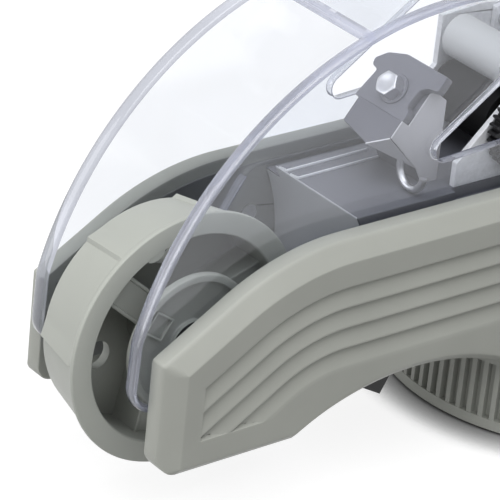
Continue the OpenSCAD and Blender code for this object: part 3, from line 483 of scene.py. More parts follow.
def armLow(x):
    s = armShape
    z = s["lowZ"]
    if abs(x - s["archX"]) < s["archR"]:
        z = max(z, s["archZ"] + math.sqrt(s["archR"] ** 2 - (x - s["archX"]) ** 2))
    heel = s["heelR"] - (x - s["endX"])
    if 0 < heel <= s["heelR"]:
        z = max(z, s["lowZ"] + s["heelR"] - math.sqrt(max(0.0, s["heelR"] ** 2 - heel ** 2)))
    return z


def fluteDepth(x, z):
    s = armShape
    frontX = s["ridgeX"] - s["fluteFront"]
    if x < s["fluteX"] or x > frontX:
        return 0.0
    first = armDepth(x, z) - s["fluteStart"]
    cuts = [tableValue(fluteProfile, first - k * s["flutePitch"]) for k in range(s["fluteCount"])]
    return max(cuts) * min(1.0, (frontX - x) / s["fluteEase"])


def soft(distance, width):
    # Bevel drop with softened ends: 1 at the edge, 0 past the width
    t = distance / width
    bend = 0.05
    if t >= 1 + bend:
        return 0.0
    if t > 1 - bend:
        return (1 + bend - t) ** 2 / (4 * bend)
    return 1.0 - t


def edgeDrop(x, z):
    # How far the bevels of the top and of both ends draw the side in
    s = armShape
    panel = math.radians(s["panelSlope"])
    front = (s["topZ"] - (x - s["ridgeX"]) * math.tan(panel) - z) * math.cos(panel)
    depth = max(0.0, min(armDepth(x, z), front))
    ends = [soft(gap, s["endBevel"]) for gap in (x - s["endX"], s["noseX"] - x)]
    return (s["yOut"] - s["yMid"]) * max(soft(depth, s["bevelDrop"]), *ends)


def armColumn(x, inset):
    s = armShape
    m = armMesh
    low = armLow(x) + inset
    band = low + s["footBand"]
    floor = max(s["fluteLow"], band)
    rows = list(m["rows"])
    for k in range(s["fluteCount"]):
        rows += [s["fluteStart"] + k * s["flutePitch"] + at for at, _ in fluteProfile]
    edgeIn = s["yIn"] + s["innerGap"] + inset
    top = [(edgeIn + a, d) for a, d in m["topEdge"]] + [(s["yMid"] - a, 0.0) for a in m["topFlat"]]
    loop = [(x, y, armTop(x, d + inset)) for y, d in top]
    for d in sorted(set(round(r, 4) for r in rows)):
        z = armTop(x, max(d, m["leastDepth"]) + inset)
        cut = fluteDepth(x, max(z, floor))
        z = max(z if z > floor else floor + s["fluteFoot"] * cut, band)
        drop = edgeDrop(x, z)
        y = s["yOut"] - drop - inset
        if d < s["topRound"]:
            y -= (s["topRound"] - d) * s["topPull"]
        if drop < (s["yOut"] - s["yMid"]) * s["fluteFrom"]:
            y -= cut
        loop.append((x, y, z))
    for share in m["bandShares"]:
        z = floor + (band - floor) * share
        loop.append((x, s["yOut"] - edgeDrop(x, z) - inset, z))
    for up in m["footRows"]:
        drop = max(s["footDrop"] * soft(up, s["footBevel"]), edgeDrop(x, low + up))
        tuck = 0.0 if up else s["footTuck"]
        loop.append((x, s["yOut"] - drop - inset - tuck, low + up))
    under = [(s["yMid"] - s["underFlat"], 0.0), (edgeIn + s["lowRound"], 0.0), (edgeIn, s["lowRound"])]
    return loop + [(x, y, low + up) for y, up in under]


def armColumns():
    s = armShape
    m = armMesh
    rear, middle, front, panel = m["runs"]
    fluteEnd = s["ridgeX"] - s["fluteFront"]
    xs = [s["endX"] + a for a in m["fromEnd"]]
    xs += [s["fluteX"] + a for a in m["atFlutes"]]
    xs += steps(xs.pop(), m["archRear"][0], rear)
    xs += m["archRear"][1:]
    xs += steps(xs.pop(), m["archFront"][0], middle)
    xs += m["archFront"][1:]
    xs += steps(xs.pop(), fluteEnd + m["fluteEnd"][0], front)
    xs += [fluteEnd + a for a in m["fluteEnd"][1:]]
    xs += [s["ridgeX"] + a for a in m["atRidge"]]
    xs += steps(xs.pop(), s["noseX"] - m["toNose"][0], panel)
    xs += [s["noseX"] - a for a in m["toNose"][1:]]
    return xs


def sideShell(name, side, node):
    s = armShape
    loops = []
    for x in armColumns():
        gap = min(x - s["endX"], s["noseX"] - x)
        inset = s["endInset"] * max(0.0, 1 - gap / s["endRound"]) ** 2
        loops.append([(a, b * side, c) for a, b, c in armColumn(x, inset)])
    addPiece(name, solid(loops), "shell", "body", (node,))


sideShell("nearArm", -1, "near_side_shell")
sideShell("farArm", 1, "far_side_shell")
print("arms built")


# Reel: conical drum with lip, grip teeth, web, spokes and hub
reelShape = {
    "x": -169.0, "z": 55.5, "lipR": 40.0, "bigR": 38.9, "smallR": 35.2, "boreR": 33.0, "half": 11.0,
    "teeth": 7, "toothStart": 128.0, "toothSpan": 9.0, "toothStep": 1.6, "toothHigh": (0.85, 1.3),
    "toothNear": -8.45, "toothFade": 0.5, "toothCurve": 1.2, "toothMargin": 0.3,
    "webNear": 6.0, "webFar": 9.0, "holes": 3, "holeStart": 205.0, "holeR": 4.6, "holeRing": 21.0,
    "hubR": 9.0, "hubEdge": 0.4, "axleR": 5.1, "webLap": 0.2,
    "spokeStart": 139.0, "spokeHalf": 5.2, "spokeNear": -5.0, "spokeSink": 0.5, "spokeLaps": (0.6, 0.3),
    "spokeEdge": ((0.0, 0.35), (-0.1, 0.1), (-0.35, 0.0), (-0.75, 0.0), (-1.0, 0.12), (-1.2, 0.5)),
    "tab": (114.0, 6.5, 2.2), "tabRows": ((0.1, 0.35), (0.35, 0.0), (2.4, 0.0)), "tabSeat": (0.4, 0.8),
    "nearEdge": (("boreR", "near", ((0.0, 0.8), (0.12, 0.35), (0.5, 0.0))),
                 ("lipR", "near", ((-0.7, 0.0), (-0.2, 0.2), (0.0, 0.6), (0.0, 1.3), (-0.3, 1.8))),
                 ("bigR", "near", ((0.05, 2.6),))),
    "coneNear": 2.6, "coneFar": 0.8, "coneShares": (0.03, 0.09, 0.2, 0.4, 0.6, 0.8, 0.92, 0.97, 1.0),
    "farEdge": (("smallR", "far", ((-0.25, -0.25), (-0.8, 0.0))),
                ("boreR", "far", ((0.4, 0.0), (0.0, -0.4))),
                ("boreR", "webFar", ((0.0, 0.0),)), ("boreR", "webNear", ((0.0, 0.0),))),
}
# Places of the drum's columns at each tooth, in degrees and in shares of the steep face
toothColumns = {
    "ramp": (-9, -7.5, -6, -4.5, -3, -1.5, -0.6, -0.15, 0.0), "face": (0.08, 0.5, 0.92, 1.0),
    "gap": 0.3, "between": 26,
}


def onReel(radius, degrees, y):
    x, z = around(reelShape["x"], reelShape["z"], radius, degrees)
    return (x, y, z)


def toothLift(degrees, y):
    # Ramp up to the tooth's edge, then a short steep face; higher towards the small end
    s = reelShape
    pitch = 360 / s["teeth"]
    back = (s["toothStart"] - degrees) % pitch
    ahead = pitch - back
    near, far = s["toothHigh"]
    high = near + (far - near) * (y + s["half"]) / (2 * s["half"])
    high *= min(1.0, max(0.0, (s["half"] - y) / s["toothFade"]))
    if back <= s["toothSpan"]:
        return high * (1 - back / s["toothSpan"]) ** s["toothCurve"]
    if ahead <= s["toothStep"]:
        return high * (1 - ahead / s["toothStep"])
    return 0.0


def reelAngles():
    s = reelShape
    c = toothColumns
    pitch = 360 / s["teeth"]
    plain = steps(s["toothStep"] + c["gap"], pitch - s["toothSpan"], c["between"])[:-1]
    offsets = [*c["ramp"], *[s["toothStep"] * t for t in c["face"]], *plain]
    return [s["toothStart"] + k * pitch + a for k in range(s["teeth"]) for a in offsets]


def reelDrum():
    s = reelShape
    planes = {"near": -s["half"], "far": s["half"], "webNear": s["webNear"], "webFar": s["webFar"]}
    start = planes["near"] + s["coneNear"]
    run = planes["far"] - s["coneFar"] - start
    profile = profileOf(s["nearEdge"], s, planes)
    profile += [(s["bigR"] + (s["smallR"] - s["bigR"]) * t, start + run * t) for t in s["coneShares"]]
    profile += profileOf(s["farEdge"], s, planes)
    loops = []
    for a in reelAngles():
        loop = []
        for r, y in profile:
            toothed = r > s["smallR"] - s["toothMargin"] and y > s["toothNear"]
            loop.append(onReel(r + (toothLift(a, y) if toothed else 0.0), a, y))
        loops.append(loop)
    loops.append(loops[0])
    return skin(loops)


def holedDisc(radius, inner, ring, count, start, holeR, near, far, number=72):
    # Flat ring between two planes with round through holes, meshed in sectors
    parts = []
    sector = 360 / count
    half = math.radians(sector / 2)
    turns = [2 * math.pi * i / number for i in range(number)]
    for r in (radius, inner):
        corner = math.atan2(r * math.sin(half), r * math.cos(half) - ring)
        turns += [corner, 2 * math.pi - corner]
    turns.sort()
    hole = [(ring + holeR * math.cos(t), holeR * math.sin(t)) for t in turns]
    edge = [sectorEdge(radius, inner, sector / 2, ring, t) for t in turns]
    for k in range(count):
        centre = start + k * sector
        bore = [[rotated(p, centre, y) for p in hole] for y in (near, far)]
        rim = [[rotated(p, centre, y) for p in edge] for y in (near, far)]
        parts += [skin(pair) for pair in zip(bore, rim)]
        parts.append(skin(bore))
    return merge(*parts)


def rotated(point, degrees, y):
    a = math.radians(degrees)
    px, py = point
    return (reelShape["x"] + px * math.cos(a) - py * math.sin(a), y,
            reelShape["z"] + px * math.sin(a) + py * math.cos(a))


def sectorEdge(radius, inner, half, ring, t):
    # Where a ray from the hole's centre leaves the sector
    dx = math.cos(t)
    dy = math.sin(t)
    ways = []
    for r in (radius, inner):
        middle = ring * dx
        root = middle ** 2 - ring ** 2 + r ** 2
        if root >= 0:
            ways += [-middle - math.sqrt(root), -middle + math.sqrt(root)]
    for side in (-1, 1):
        a = math.radians(half) * side
        down = dy * math.cos(a) - dx * math.sin(a)
        if abs(down) > 1e-9:
            ways.append(ring * math.sin(a) / down)
    best = min(way for way in ways if way > 1e-6)
    return (ring + best * dx, best * dy)


def tube(outer, inner, near, far, edge, number=64):
    profile = [(inner, near), (outer - edge, near), (outer, near + edge), (outer, far), (inner, far)]
    loops = [[onReel(r, 360 * i / number, y) for r, y in profile] for i in range(number)]
    loops.append(loops[0])
    return skin(loops)


def spoke(degrees):
    # Flat bar with a small bead along both edges
    s = reelShape
    wide = s["spokeHalf"]
    half = [(wide, s["webNear"] + s["spokeSink"])]
    half += [(wide + a, s["spokeNear"] + b) for a, b in s["spokeEdge"]]
    section = half + [(-w, y) for w, y in half[::-1]]
    ends = (s["hubR"] - s["spokeLaps"][0], s["boreR"] + s["spokeLaps"][1])
    return skin([[rotated((r, w), degrees, y) for w, y in section] for r in ends])


def rimTab():
    # Rounded tab on the inner edge of the rim
    s = reelShape
    at, wide, high = s["tab"]
    inner, outer = [s["boreR"] + seat for seat in s["tabSeat"]]
    loops = []
    for up, shrink in s["tabRows"]:
        y = -s["half"] + up
        turn = math.degrees((wide - shrink) / 2 / s["boreR"])
        loop = []
        for t in steps(-1, 1, 16):
            bulge = (high - shrink) * math.sqrt(max(0.0, 1 - t * t))
            loop.append(onReel(inner - bulge, at + t * turn, y))
        loop += [onReel(outer, at + t * math.degrees(wide / 2 / s["boreR"]), y) for t in (1, 0, -1)]
        loops.append(loop)
    return solid(loops)


def reelPiece():
    s = reelShape
    lap = s["webLap"]
    parts = [reelDrum(), rimTab()]
    parts += [spoke(s["spokeStart"] + k * 360 / s["holes"]) for k in range(s["holes"])]
    parts.append(holedDisc(s["boreR"] + lap, s["hubR"] - lap, s["holeRing"], s["holes"],
                           s["holeStart"], s["holeR"], s["webNear"], s["webFar"]))
    parts.append(tube(s["hubR"], s["axleR"], -s["half"], s["half"], s["hubEdge"]))
    addPiece("reelDrum", merge(*parts), "reel", "reel", ("reel_drum",), angle=32)


# End disc on the near side of the hub: raised rim, sunken face and two moulded frames
discShape = {
    "r": 21.5, "near": -13.5, "far": -11.0, "rim": 2.4, "sunk": 1.5, "hubR": 6.7,
    "frameAt": (146.0, 326.0), "frameIn": 10.4, "frameOut": 17.8, "frameHalf": 3.7, "frameWall": 0.6,
    "frameSunk": 0.6, "frameRound": 0.12, "frameRoot": 0.1,
    "profile": (("axle", "far", ((0.0, 0.0),)), ("out", "far", ((-0.3, 0.0), (0.0, -0.3))),
                ("out", "near", ((0.0, 0.5), (-0.15, 0.15), (-0.5, 0.0))),
                ("rim", "near", ((0.3, 0.0), (0.0, 0.3))), ("rim", "floor", ((-0.15, -0.2), (-0.5, 0.0))),
                ("hub", "floor", ((0.4, 0.0), (0.0, -0.3))), ("hub", "near", ((-0.1, 0.3), (-0.5, 0.0))),
                ("axle", "near", ((0.4, 0.0), (0.0, 0.4)))),
}


def endDisc():
    d = discShape
    floor = d["near"] + d["sunk"]
    radii = {"axle": reelShape["axleR"], "out": d["r"], "rim": d["r"] - d["rim"], "hub": d["hubR"]}
    profile = profileOf(d["profile"], radii, {"near": d["near"], "far": d["far"], "floor": floor})
    parts = [skin([[onReel(r, a, y) for r, y in profile] for a in steps(0, 360, 96)])]
    root = floor + d["frameRoot"]
    side = d["near"] + d["frameSunk"]
    top = side - d["frameRound"]
    wall = d["frameWall"]
    section = [(0.0, root), (0.0, side), (d["frameRound"], top),
               (wall - d["frameRound"], top), (wall, side), (wall, root)]
    for at in d["frameAt"]:
        loops = []
        for inset, y in section:
            corners = rectangle(d["frameIn"] + inset, d["frameOut"] - inset, d["frameHalf"] - inset)
            loops.append([rotated(p, at, y) for p in corners])
        parts.append(skin(loops))
    addPiece("reelEndDisc", merge(*parts), "reel", "reel", ("reel_end_disc",), angle=32)


endDisc()
reelPiece()
print("reel built")


# Clear cover: two side panels with a thick rounded rear lip, and the roof between them
coverShape = {
    "x": -87.3, "z": 38.9, "r": 114.0, "rearAngle": 165.5, "fall": 12.0, "thick": 2.6,
    "panelIn": 23.1, "panelOut": 25.7, "tailX": -198.2, "lowZ": 44.0, "corner": 9.0,
    "heel": (-148.0, 44.0), "toe": (-122.0, 84.5), "lowFront": (-6.5, 84.5), "noseLow": (-6.5, 89.1),
    "nose": (4.0, 89.1), "roofX": -124.0,
    "cut": (((-90.2, 105.2), 3.6), ((-49.0, 131.2), 5.6), ((-41.0, 109.5), 5.0)),
    "noseRound": 2.0, "tipRound": 0.8, "toeRound": 3.0, "heelRound": 5.0,
    "lipWide": 2.4, "lipThick": 1.8, "plainWide": 0.6, "rimFace": 1.3, "cutRim": 0.4, "cutStep": 3,
    "roofLap": 0.2, "roofBulge": (0.6, 0.45), "bulgeShares": (0.15, 0.35, 0.65, 0.85),
}


def roofZ(x, inset=0.0):
    s = coverShape
    fall = math.radians(s["fall"])
    return s["z"] + (s["r"] - inset) / math.cos(fall) - (x - s["x"]) * math.tan(fall)


def coverArc(first, last, count, inset=0.0):
    s = coverShape
    return [around(s["x"], s["z"], s["r"] - inset, a) for a in steps(first, last, count)]


def roundCorner(before, corner, after, radius, count=5):
    # Points of a rounded corner between two straight edges
    middle = Vector(corner)
    first, last = [middle + (Vector(end) - middle).normalized() * radius for end in (before, after)]
    points = [first * (1 - t) ** 2 + middle * 2 * t * (1 - t) + last * t ** 2 for t in steps(0, 1, count)]
    return [tuple(p) for p in points]


def roundAll(corners, radius, count=5):
    points = []
    for before, corner, after in zip(corners[-1:] + corners[:-1], corners, corners[1:] + corners[:1]):
        points += roundCorner(before, corner, after, radius, count)
    return points


def line(first, last, count):
    return [tuple(a + (b - a) * t for a, b in zip(first, last)) for t in steps(0, 1, count)]


# Outline of a side panel with the share of the thick lip at each point, or -1 where the edge is plain
def panelOutline():
    s = coverShape
    low = s["lowFront"]
    toe = s["toe"]
    heel = s["heel"]
    arc = coverArc(s["rearAngle"], 90 - s["fall"], 70)
    nose = (s["nose"][0], roofZ(s["nose"][0]))
    centre = (s["tailX"] + s["corner"], s["lowZ"] + s["corner"])
    runs = [
        (1.0, arc),
        (0.0, line(arc[-1], nose, 20)[1:-1]),
        (0.0, roundCorner(arc[-1], nose, s["nose"], s["noseRound"])),
        (-1.0, roundCorner(nose, s["nose"], s["noseLow"], s["tipRound"], 2)),
        (-1.0, [s["noseLow"]]),
        (-1.0, roundCorner(s["noseLow"], low, toe, s["tipRound"], 2)),
        (-1.0, line(low, toe, 30)[1:-2]),
        (-1.0, roundCorner(low, toe, heel, s["toeRound"])),
        (0.0, line(toe, heel, 10)[2:-2]),
        (0.0, roundCorner(toe, heel, (s["tailX"], s["lowZ"]), s["heelRound"])),
        (0.0, line(heel, (centre[0], s["lowZ"]), 8)[2:-1]),
    ]
    for i, a in enumerate(steps(270, 180, 10)):
        runs.append((i / 10, [around(*centre, s["corner"], a)]))
    runs.append((1.0, line((s["tailX"], centre[1]), arc[0], 5)[1:-1]))
    return [(point, lip) for lip, run in runs for point in run]


def inward(points):
    # Unit vectors into a closed outline, whichever way it runs
    following = points[1:] + points[:1]
    side = 1 if sum(a[0] * b[1] - b[0] * a[1] for a, b in zip(points, following)) > 0 else -1
    result = []
    for before, after in zip(points[-1:] + points[:-1], following):
        run = (Vector(after) - Vector(before)).normalized()
        result.append(Vector((-run.y, run.x)) * side)
    return result


def turnsLeft(a, b, c):
    return (b[0] - a[0]) * (c[1] - a[1]) - (b[1] - a[1]) * (c[0] - a[0]) > 0


def cutOutline():
    # Convex outline around the three circles of the side opening
    points = [around(*centre, r, 360 * i / 48) for centre, r in coverShape["cut"] for i in range(48)]
    points = sorted(set((round(x, 5), round(z, 5)) for x, z in points))
    hull = []
    for group in (points, points[::-1]):
        chain = []
        for p in group:
            while len(chain) > 1 and not turnsLeft(chain[-2], chain[-1], p):
                chain.pop()
            chain.append(p)
        hull += chain[:-1]
    dense = []
    for p, q in zip(hull, hull[1:] + hull[:1]):
        far = (Vector(q) - Vector(p)).length
        dense += line(p, q, max(1, int(far / coverShape["cutStep"])))[:-1]
    return dense


def edgeProfile(lip):
    # Distance in from the edge and place across the panel, from the inner face round to the outer face
    s = coverShape
    inner = s["panelIn"]
    outer = s["panelOut"]
    low = inner - s["lipThick"] * lip
    wide = s["plainWide"] + (s["lipWide"] - s["plainWide"]) * lip
    return [(wide + 0.9, inner), (wide, inner - 0.15 * lip), (wide * 0.72, low + 0.12 * lip),
            (0.9, low), (0.35, low + 0.2), (0.05, low + 0.7), (0.0, (low + outer) / 2),
            (0.05, outer - 0.7), (0.35, outer - 0.18), (0.9, outer), (s["rimFace"], outer)]


def panelMesh(side):
    outline = panelOutline()
    points = [p for p, _ in outline]
    loops = []
    plain = []
    for (x, z), normal, (_, lip) in zip(points, inward(points), outline):
        edge = edgeProfile(max(0.0, lip))
        loops.append([(x + normal.x * e, y * side, z + normal.y * e) for e, y in edge])
        plain.append(lip < 0)
    loops.append(loops[0])
    plain.append(plain[0])
    strips = {True: [], False: []}
    for i in range(len(loops) - 1):
        strips[plain[i] and plain[i + 1]].append(skin(loops[i:i + 2], False))
    hole = cutOutline()
    cutRim = [(e * coverShape["cutRim"], y * side) for e, y in edgeProfile(0.0)]
    holeLoops = []
    for (x, z), normal in zip(hole, inward(hole)):
        holeLoops.append([(x - normal.x * e, y, z - normal.y * e) for e, y in cutRim])
    holeLoops.append(holeLoops[0])
    flats = []
    for place in (0, -1):
        rings = [[Vector(loop[place]) for loop in group[:-1]] for group in (loops, holeLoops)]
        triangles = tessellate_polygon([[Vector((v.x, v.z, 0)) for v in ring] for ring in rings])
        flats.append(([tuple(v) for ring in rings for v in ring], [tuple(t) for t in triangles]))
    return merge(*strips[False], skin(holeLoops, False)), merge(*strips[True], *flats)


def roofMesh():
    s = coverShape
    start = math.degrees(math.acos((s["roofX"] - s["x"]) / s["r"]))
    faces = []
    for inset in (0.0, s["thick"]):
        arc = coverArc(start, 90 - s["fall"], 24, inset)
        faces.append(arc + line(arc[-1], (s["nose"][0], roofZ(s["nose"][0], inset)), 16)[1:])
    top, under = faces
    back = []
    for t in s["bulgeShares"]:
        ends = zip(top[0], under[0], s["roofBulge"])
        back.append(tuple(a * (1 - t) + b * t - bulge * math.sin(math.pi * t) for a, b, bulge in ends))
    edge = [under[1], under[0]] + back[::-1] + [top[0], top[1]]
    half = s["panelIn"] + s["roofLap"]
    sheets = []
    for run in (edge, top[1:], under[1:]):
        sheets.append(skin([[(x, y, z) for x, z in run] for y in (-half, half)], False))
    return sheets[0], merge(*sheets[1:])


def clearCover():
    shapes = [panelMesh(-1), panelMesh(1), roofMesh()]
    rims = merge(*[rim for rim, _ in shapes])
    flats = merge(*[flat for _, flat in shapes])
    addPiece("coverPanels", flats, "clear", "cover", ("clear_cover",))
    addPiece("coverRims", rims, "clear", "cover", ("clear_cover",), "clearRim")


clearCover()
print("cover built")


# Head: leaning block and plate with washer, hex bolt, and a thin near cheek coloured light as painted light
# on that face
headShape = {
    "x": -90.0, "z": 114.2, "slope": 38.0, "half": 10.0, "plateThick": 3.0, "seatUp": 6.0, "lipTop": -7.1,
    "outline": [(12.3, -7.5), (10.4, 2.4), (13.2, 3.0), (13.8, 5.2), (10.4, 8.6), (3.5, 10.9),
                (-15.0, 10.9), (-15.0, 5.6), (-10.9, 5.0), (-8.6, 3.2), (-8.0, -2.4), (-9.8, -3.8),
                (-10.0, -7.5)],
    "lipEdge": ((-10.0, -13.4), (-3.0, -18.3), (10.0, -15.8)),
    "under": (16.0, -15.8), "backX": -78.0, "backZ": 112.2, "footX": -84.0, "deckZ": 86.0,
    "lipOut": 0.5, "cheekThick": 0.4, "cheekSink": 0.1, "cheekShort": 0.3, "stripLifts": (-0.3, 0.15),
    "plateRound": 0.9, "plateEdge": ((0.45, 0.0), (0.22, 0.05), (0.06, 0.18), (0.0, 0.38), (0.0, 0.46)),
    "washerR": 4.9, "washerBore": 2.2, "washerThick": 0.6,
    "boltFlats": 7.0, "boltHigh": 4.2, "boltWide": 9.0,
    "boltEdge": ((0.45, 9.0), (0.3, 3.86), (0.15, 3.6), (0.03, 3.36), (0.0, 3.1), (0.0, 2.4), (0.15, 2.0)),
}


def onHead(u, y, up):
    return onSlope(headShape, u, y, up)


def headSection(y, lip):
    s = headShape
    front = [(-s["lipOut"], lip), (-s["lipOut"], s["lipTop"]), (s["plateThick"], s["lipTop"]),
             (s["plateThick"], s["seatUp"])]
    back = [(s["backX"], s["backZ"]), (s["backX"], s["deckZ"]), (s["footX"], s["deckZ"])]
    under, down = s["under"]
    return [*[onHead(u, y, up) for u, up in front], *[(x, y, z) for x, z in back], onHead(under, y, down)]


def headBlock():
    loops = [headSection(y, lip) for y, lip in headShape["lipEdge"]]
    # Block coloured darker than the plate as painted shade
    addPiece("headBlock", solid(loops), "zinc", "body", ("head_block",), "headDark", bevel=0.5)


# Thin sheet on the near face of the block, coloured light as painted light
def headLitCheek():
    s = headShape
    lip = s["lipEdge"][0][1] + s["cheekShort"]
    loops = [headSection(y, lip) for y in (-s["half"] - s["cheekThick"], -s["half"] + s["cheekSink"])]
    addPiece("headLitCheek", solid(loops), "zinc", "body", ("head_block",), "headLight", bevel=0.25)


def headHighlightStrip():
    # Strip along the lower near edge of the block, coloured light as a painted highlight where that edge
    # catches the light
    s = headShape
    a, b = [Vector(onHead(-s["lipOut"], *edge)) for edge in s["lipEdge"][:2]]
    c = Vector(onHead(s["under"][0], -s["half"], s["under"][1]))
    out = (b - a).cross(c - a).normalized()
    if out.z > 0:
        out = -out
    loops = [[tuple(p + out * lift) for p in (a, b, c)] for lift in s["stripLifts"]]
    addPiece("headHighlightStrip", solid(loops), "zinc", "body", ("head_block",), "headLight")


def headPlate():
    s = headShape
    points = roundAll(s["outline"], s["plateRound"], 4)
    normals = inward(points)
    loops = []
    for u, inset in ((s["plateThick"], 0.0), *s["plateEdge"]):
        loops.append([onHead(u, y + n.x * inset, z + n.y * inset) for (y, z), n in zip(points, normals)])
    addPiece("headPlate", solid(loops), "zinc", "body", ("head_plate",))


def onBolt(radius, turn, u):
    return onHead(u, radius * math.cos(turn), radius * math.sin(turn))


def headWasher():
    s = headShape
    r = s["washerR"]
    t = s["washerThick"]
    profile = [(r, 0.0), (r, -t + 0.35), (r - 0.12, -t + 0.1), (r - 0.4, -t), (s["washerBore"], -t)]
    loops = [[onBolt(radius, turn, u) for radius, u in profile] for turn in steps(0, 2 * math.pi, 64)]
    addPiece("headWasher", skin(loops, False), "zinc", "body", ("head_washer",))


def headBolt():
    s = headShape
    base = -s["washerThick"]
    turns = steps(0, 2 * math.pi, 72)[:-1]
    hexagon = [s["boltFlats"] / 2 / math.cos((turn % (math.pi / 3)) - math.pi / 6) for turn in turns]
    rows = [(base, s["boltWide"])] + [(base - s["boltHigh"] + down, limit) for down, limit in s["boltEdge"]]
    loops = [[onBolt(min(limit, r), turn, u) for r, turn in zip(hexagon, turns)] for u, limit in rows]
    addPiece("headBolt", solid(loops), "steel", "body", ("head_bolt",), "brightSteel")


headBlock()
headLitCheek()
headHighlightStrip()
headPlate()
headWasher()
headBolt()
print("head built")


# Two low ribs along the deck, each turned aside at its rear end, coloured near white as a painted highlight
# for bright lines of light on the deck
deckShape = {
    "z": 86.0, "high": 0.7, "wide": 0.25, "sink": 0.05, "shoulder": (0.5, 0.7),
    "ribs": (((-116.2, 12.2), (-115.6, 9.3), (-84.0, 9.8)),
             ((-116.2, 17.6), (-115.6, 14.8), (-84.0, 15.4))),
}


def deckRibs():
    s = deckShape
    wide = s["wide"]
    across, up = s["shoulder"]
    half = [(wide, -s["sink"]), (wide, s["high"] * up), (wide * across, s["high"])]
    section = [(-w, z) for w, z in half] + half[::-1]
    parts = []
    for path in s["ribs"]:
        parts.append(solid([[(x, y + w, s["z"] + z) for w, z in section] for x, y in path]))
    addPiece("deckRibs", merge(*parts), "frame", "body", (), "cradlePale")


# Lining of the cradle, carried up over the cut end of the deck, coloured paler than the frame as painted
# light
liningShape = {
    "r": 60.75, "low": -10.8, "step": 25.6, "stepGap": 0.05, "top": 29.7, "wide": 25.9, "narrow": 19.3,
    "topEdge": ((0.1, 0.25), (0.35, 0.4)),
}


def cradleLining():
    s = liningShape
    rows = [(s["r"], a, s["wide"]) for a in steps(s["low"], s["step"], 20)]
    rows += [(s["r"], a, s["narrow"]) for a in steps(s["step"] + s["stepGap"], s["top"], 6)]
    rows += [(s["r"] + out, s["top"] + up, s["narrow"]) for out, up in s["topEdge"]]
    loops = [[onReel(r, a, y) for y in steps(-wide, wide, 12)] for r, a, wide in rows]
    addPiece("cradleLining", skin(loops, False), "frame", "body", ("cradle",), "cradleGrey")


deckRibs()
cradleLining()
print("deck detailed")


# Control panel: dished keys, frame round the display and its digits
panelShape = {
    "x": 8.0, "z": 88.6, "slope": 40.0,
    "keyU": 42.0, "keyPitch": 16.0, "keyR": 4.5, "keyHigh": 1.6, "keyDeep": 3.4, "dish": 0.35,
    "keyEdge": ((0.0, -0.6), (-0.06, -0.3), (-0.22, -0.08), (-0.5, 0.0)),
    "dishRows": (0.8, 0.6, 0.4, 0.2, 0.04),
    "displayU": 20.0, "displayWide": 38.0, "displayHigh": 16.0,
    "frameWide": 1.3, "frameHigh": 0.6, "frameLap": 0.4, "frameSink": 0.1, "frameRound": 0.5,
    "digits": ("0", "6", "0"), "digitHigh": 8.6, "digitWide": 4.6, "digitPitch": 8.0,
    "strokeWide": 0.9, "strokeHigh": 0.08, "strokeSink": 0.05, "strokeGap": 0.15,
}
strokesOf = {"0": "abcdef", "6": "acdefg"}
# Both ends of each stroke in half heights and half widths of a digit
strokeEnds = {
    "a": ((-1, -1), (-1, 1)), "b": ((-1, 1), (0, 1)), "c": ((0, 1), (1, 1)), "d": ((1, -1), (1, 1)),
    "e": ((0, -1), (1, -1)), "f": ((-1, -1), (0, -1)), "g": ((0, -1), (0, 1)),
}


def keyCap(name, body, node, place):
    s = panelShape
    top = s["keyHigh"]
    profile = [(s["keyR"], -s["keyDeep"])] + [(s["keyR"] + out, top + up) for out, up in s["keyEdge"]]
    face = profile[-1][0]
    profile += [(face * share, top - s["dish"] * (1 - share ** 2)) for share in s["dishRows"]]
    loops = []
    for r, high in profile:
        circle = [around(s["keyU"], place, r, a) for a in steps(0, 360, 48)[:-1]]
        loops.append([onSlope(s, u, v, high) for u, v in circle])
    addPiece(name, solid(loops), "shell", body, (node,), "keyGrey")


def displayFrame():
    s = panelShape
    out = s["frameWide"]
    top = s["frameHigh"]
    section = [(0.0, -s["frameSink"]), (0.0, top - 0.2), (0.2, top), (out - 0.3, top),
               (out - 0.08, top - 0.1), (out, top - 0.3), (out, -s["frameSink"])]
    loops = []
    for grow, high in section:
        half = s["displayHigh"] / 2 - s["frameLap"] + grow
        wide = s["displayWide"] / 2 - s["frameLap"] + grow
        outline = roundAll(rectangle(-half, half, wide), s["frameRound"] + grow)
        loops.append([onSlope(s, s["displayU"] + u, v, high) for u, v in outline])
    addPiece("displayFrame", skin(loops), "shell", "body", (), "bezelGrey")


def displayDigits():
    s = panelShape
    high = s["digitHigh"] / 2
    wide = s["digitWide"] / 2
    half = s["strokeWide"] / 2
    parts = []
    for place, digit in enumerate(s["digits"]):
        centre = (place - (len(s["digits"]) - 1) / 2) * s["digitPitch"]
        for stroke in strokesOf[digit]:
            first, last = [Vector((u * high, v * wide)) for u, v in strokeEnds[stroke]]
            run = (last - first).normalized()
            side = Vector((-run.y, run.x)) * half
            first = first + run * s["strokeGap"]
            last = last - run * s["strokeGap"]
            outline = [first, first + run * half + side, last - run * half + side, last,
                       last - run * half - side, first + run * half - side]
            flat = [(s["displayU"] + p.x, centre + p.y) for p in outline]
            lifts = (-s["strokeSink"], s["strokeHigh"])
            parts.append(solid([[onSlope(s, u, v, lift) for u, v in flat] for lift in lifts]))
    addPiece("displayDigits", merge(*parts), "glass", "body", (), "digitGreen")


keyCap("feedKeyCap", "feed_key", "feed_button", -panelShape["keyPitch"])
keyCap("cutKeyCap", "cut_key", "cut_button", 0.0)
keyCap("modeKeyCap", "mode_key", "mode_button", panelShape["keyPitch"])
displayFrame()
displayDigits()
print("control panel built")


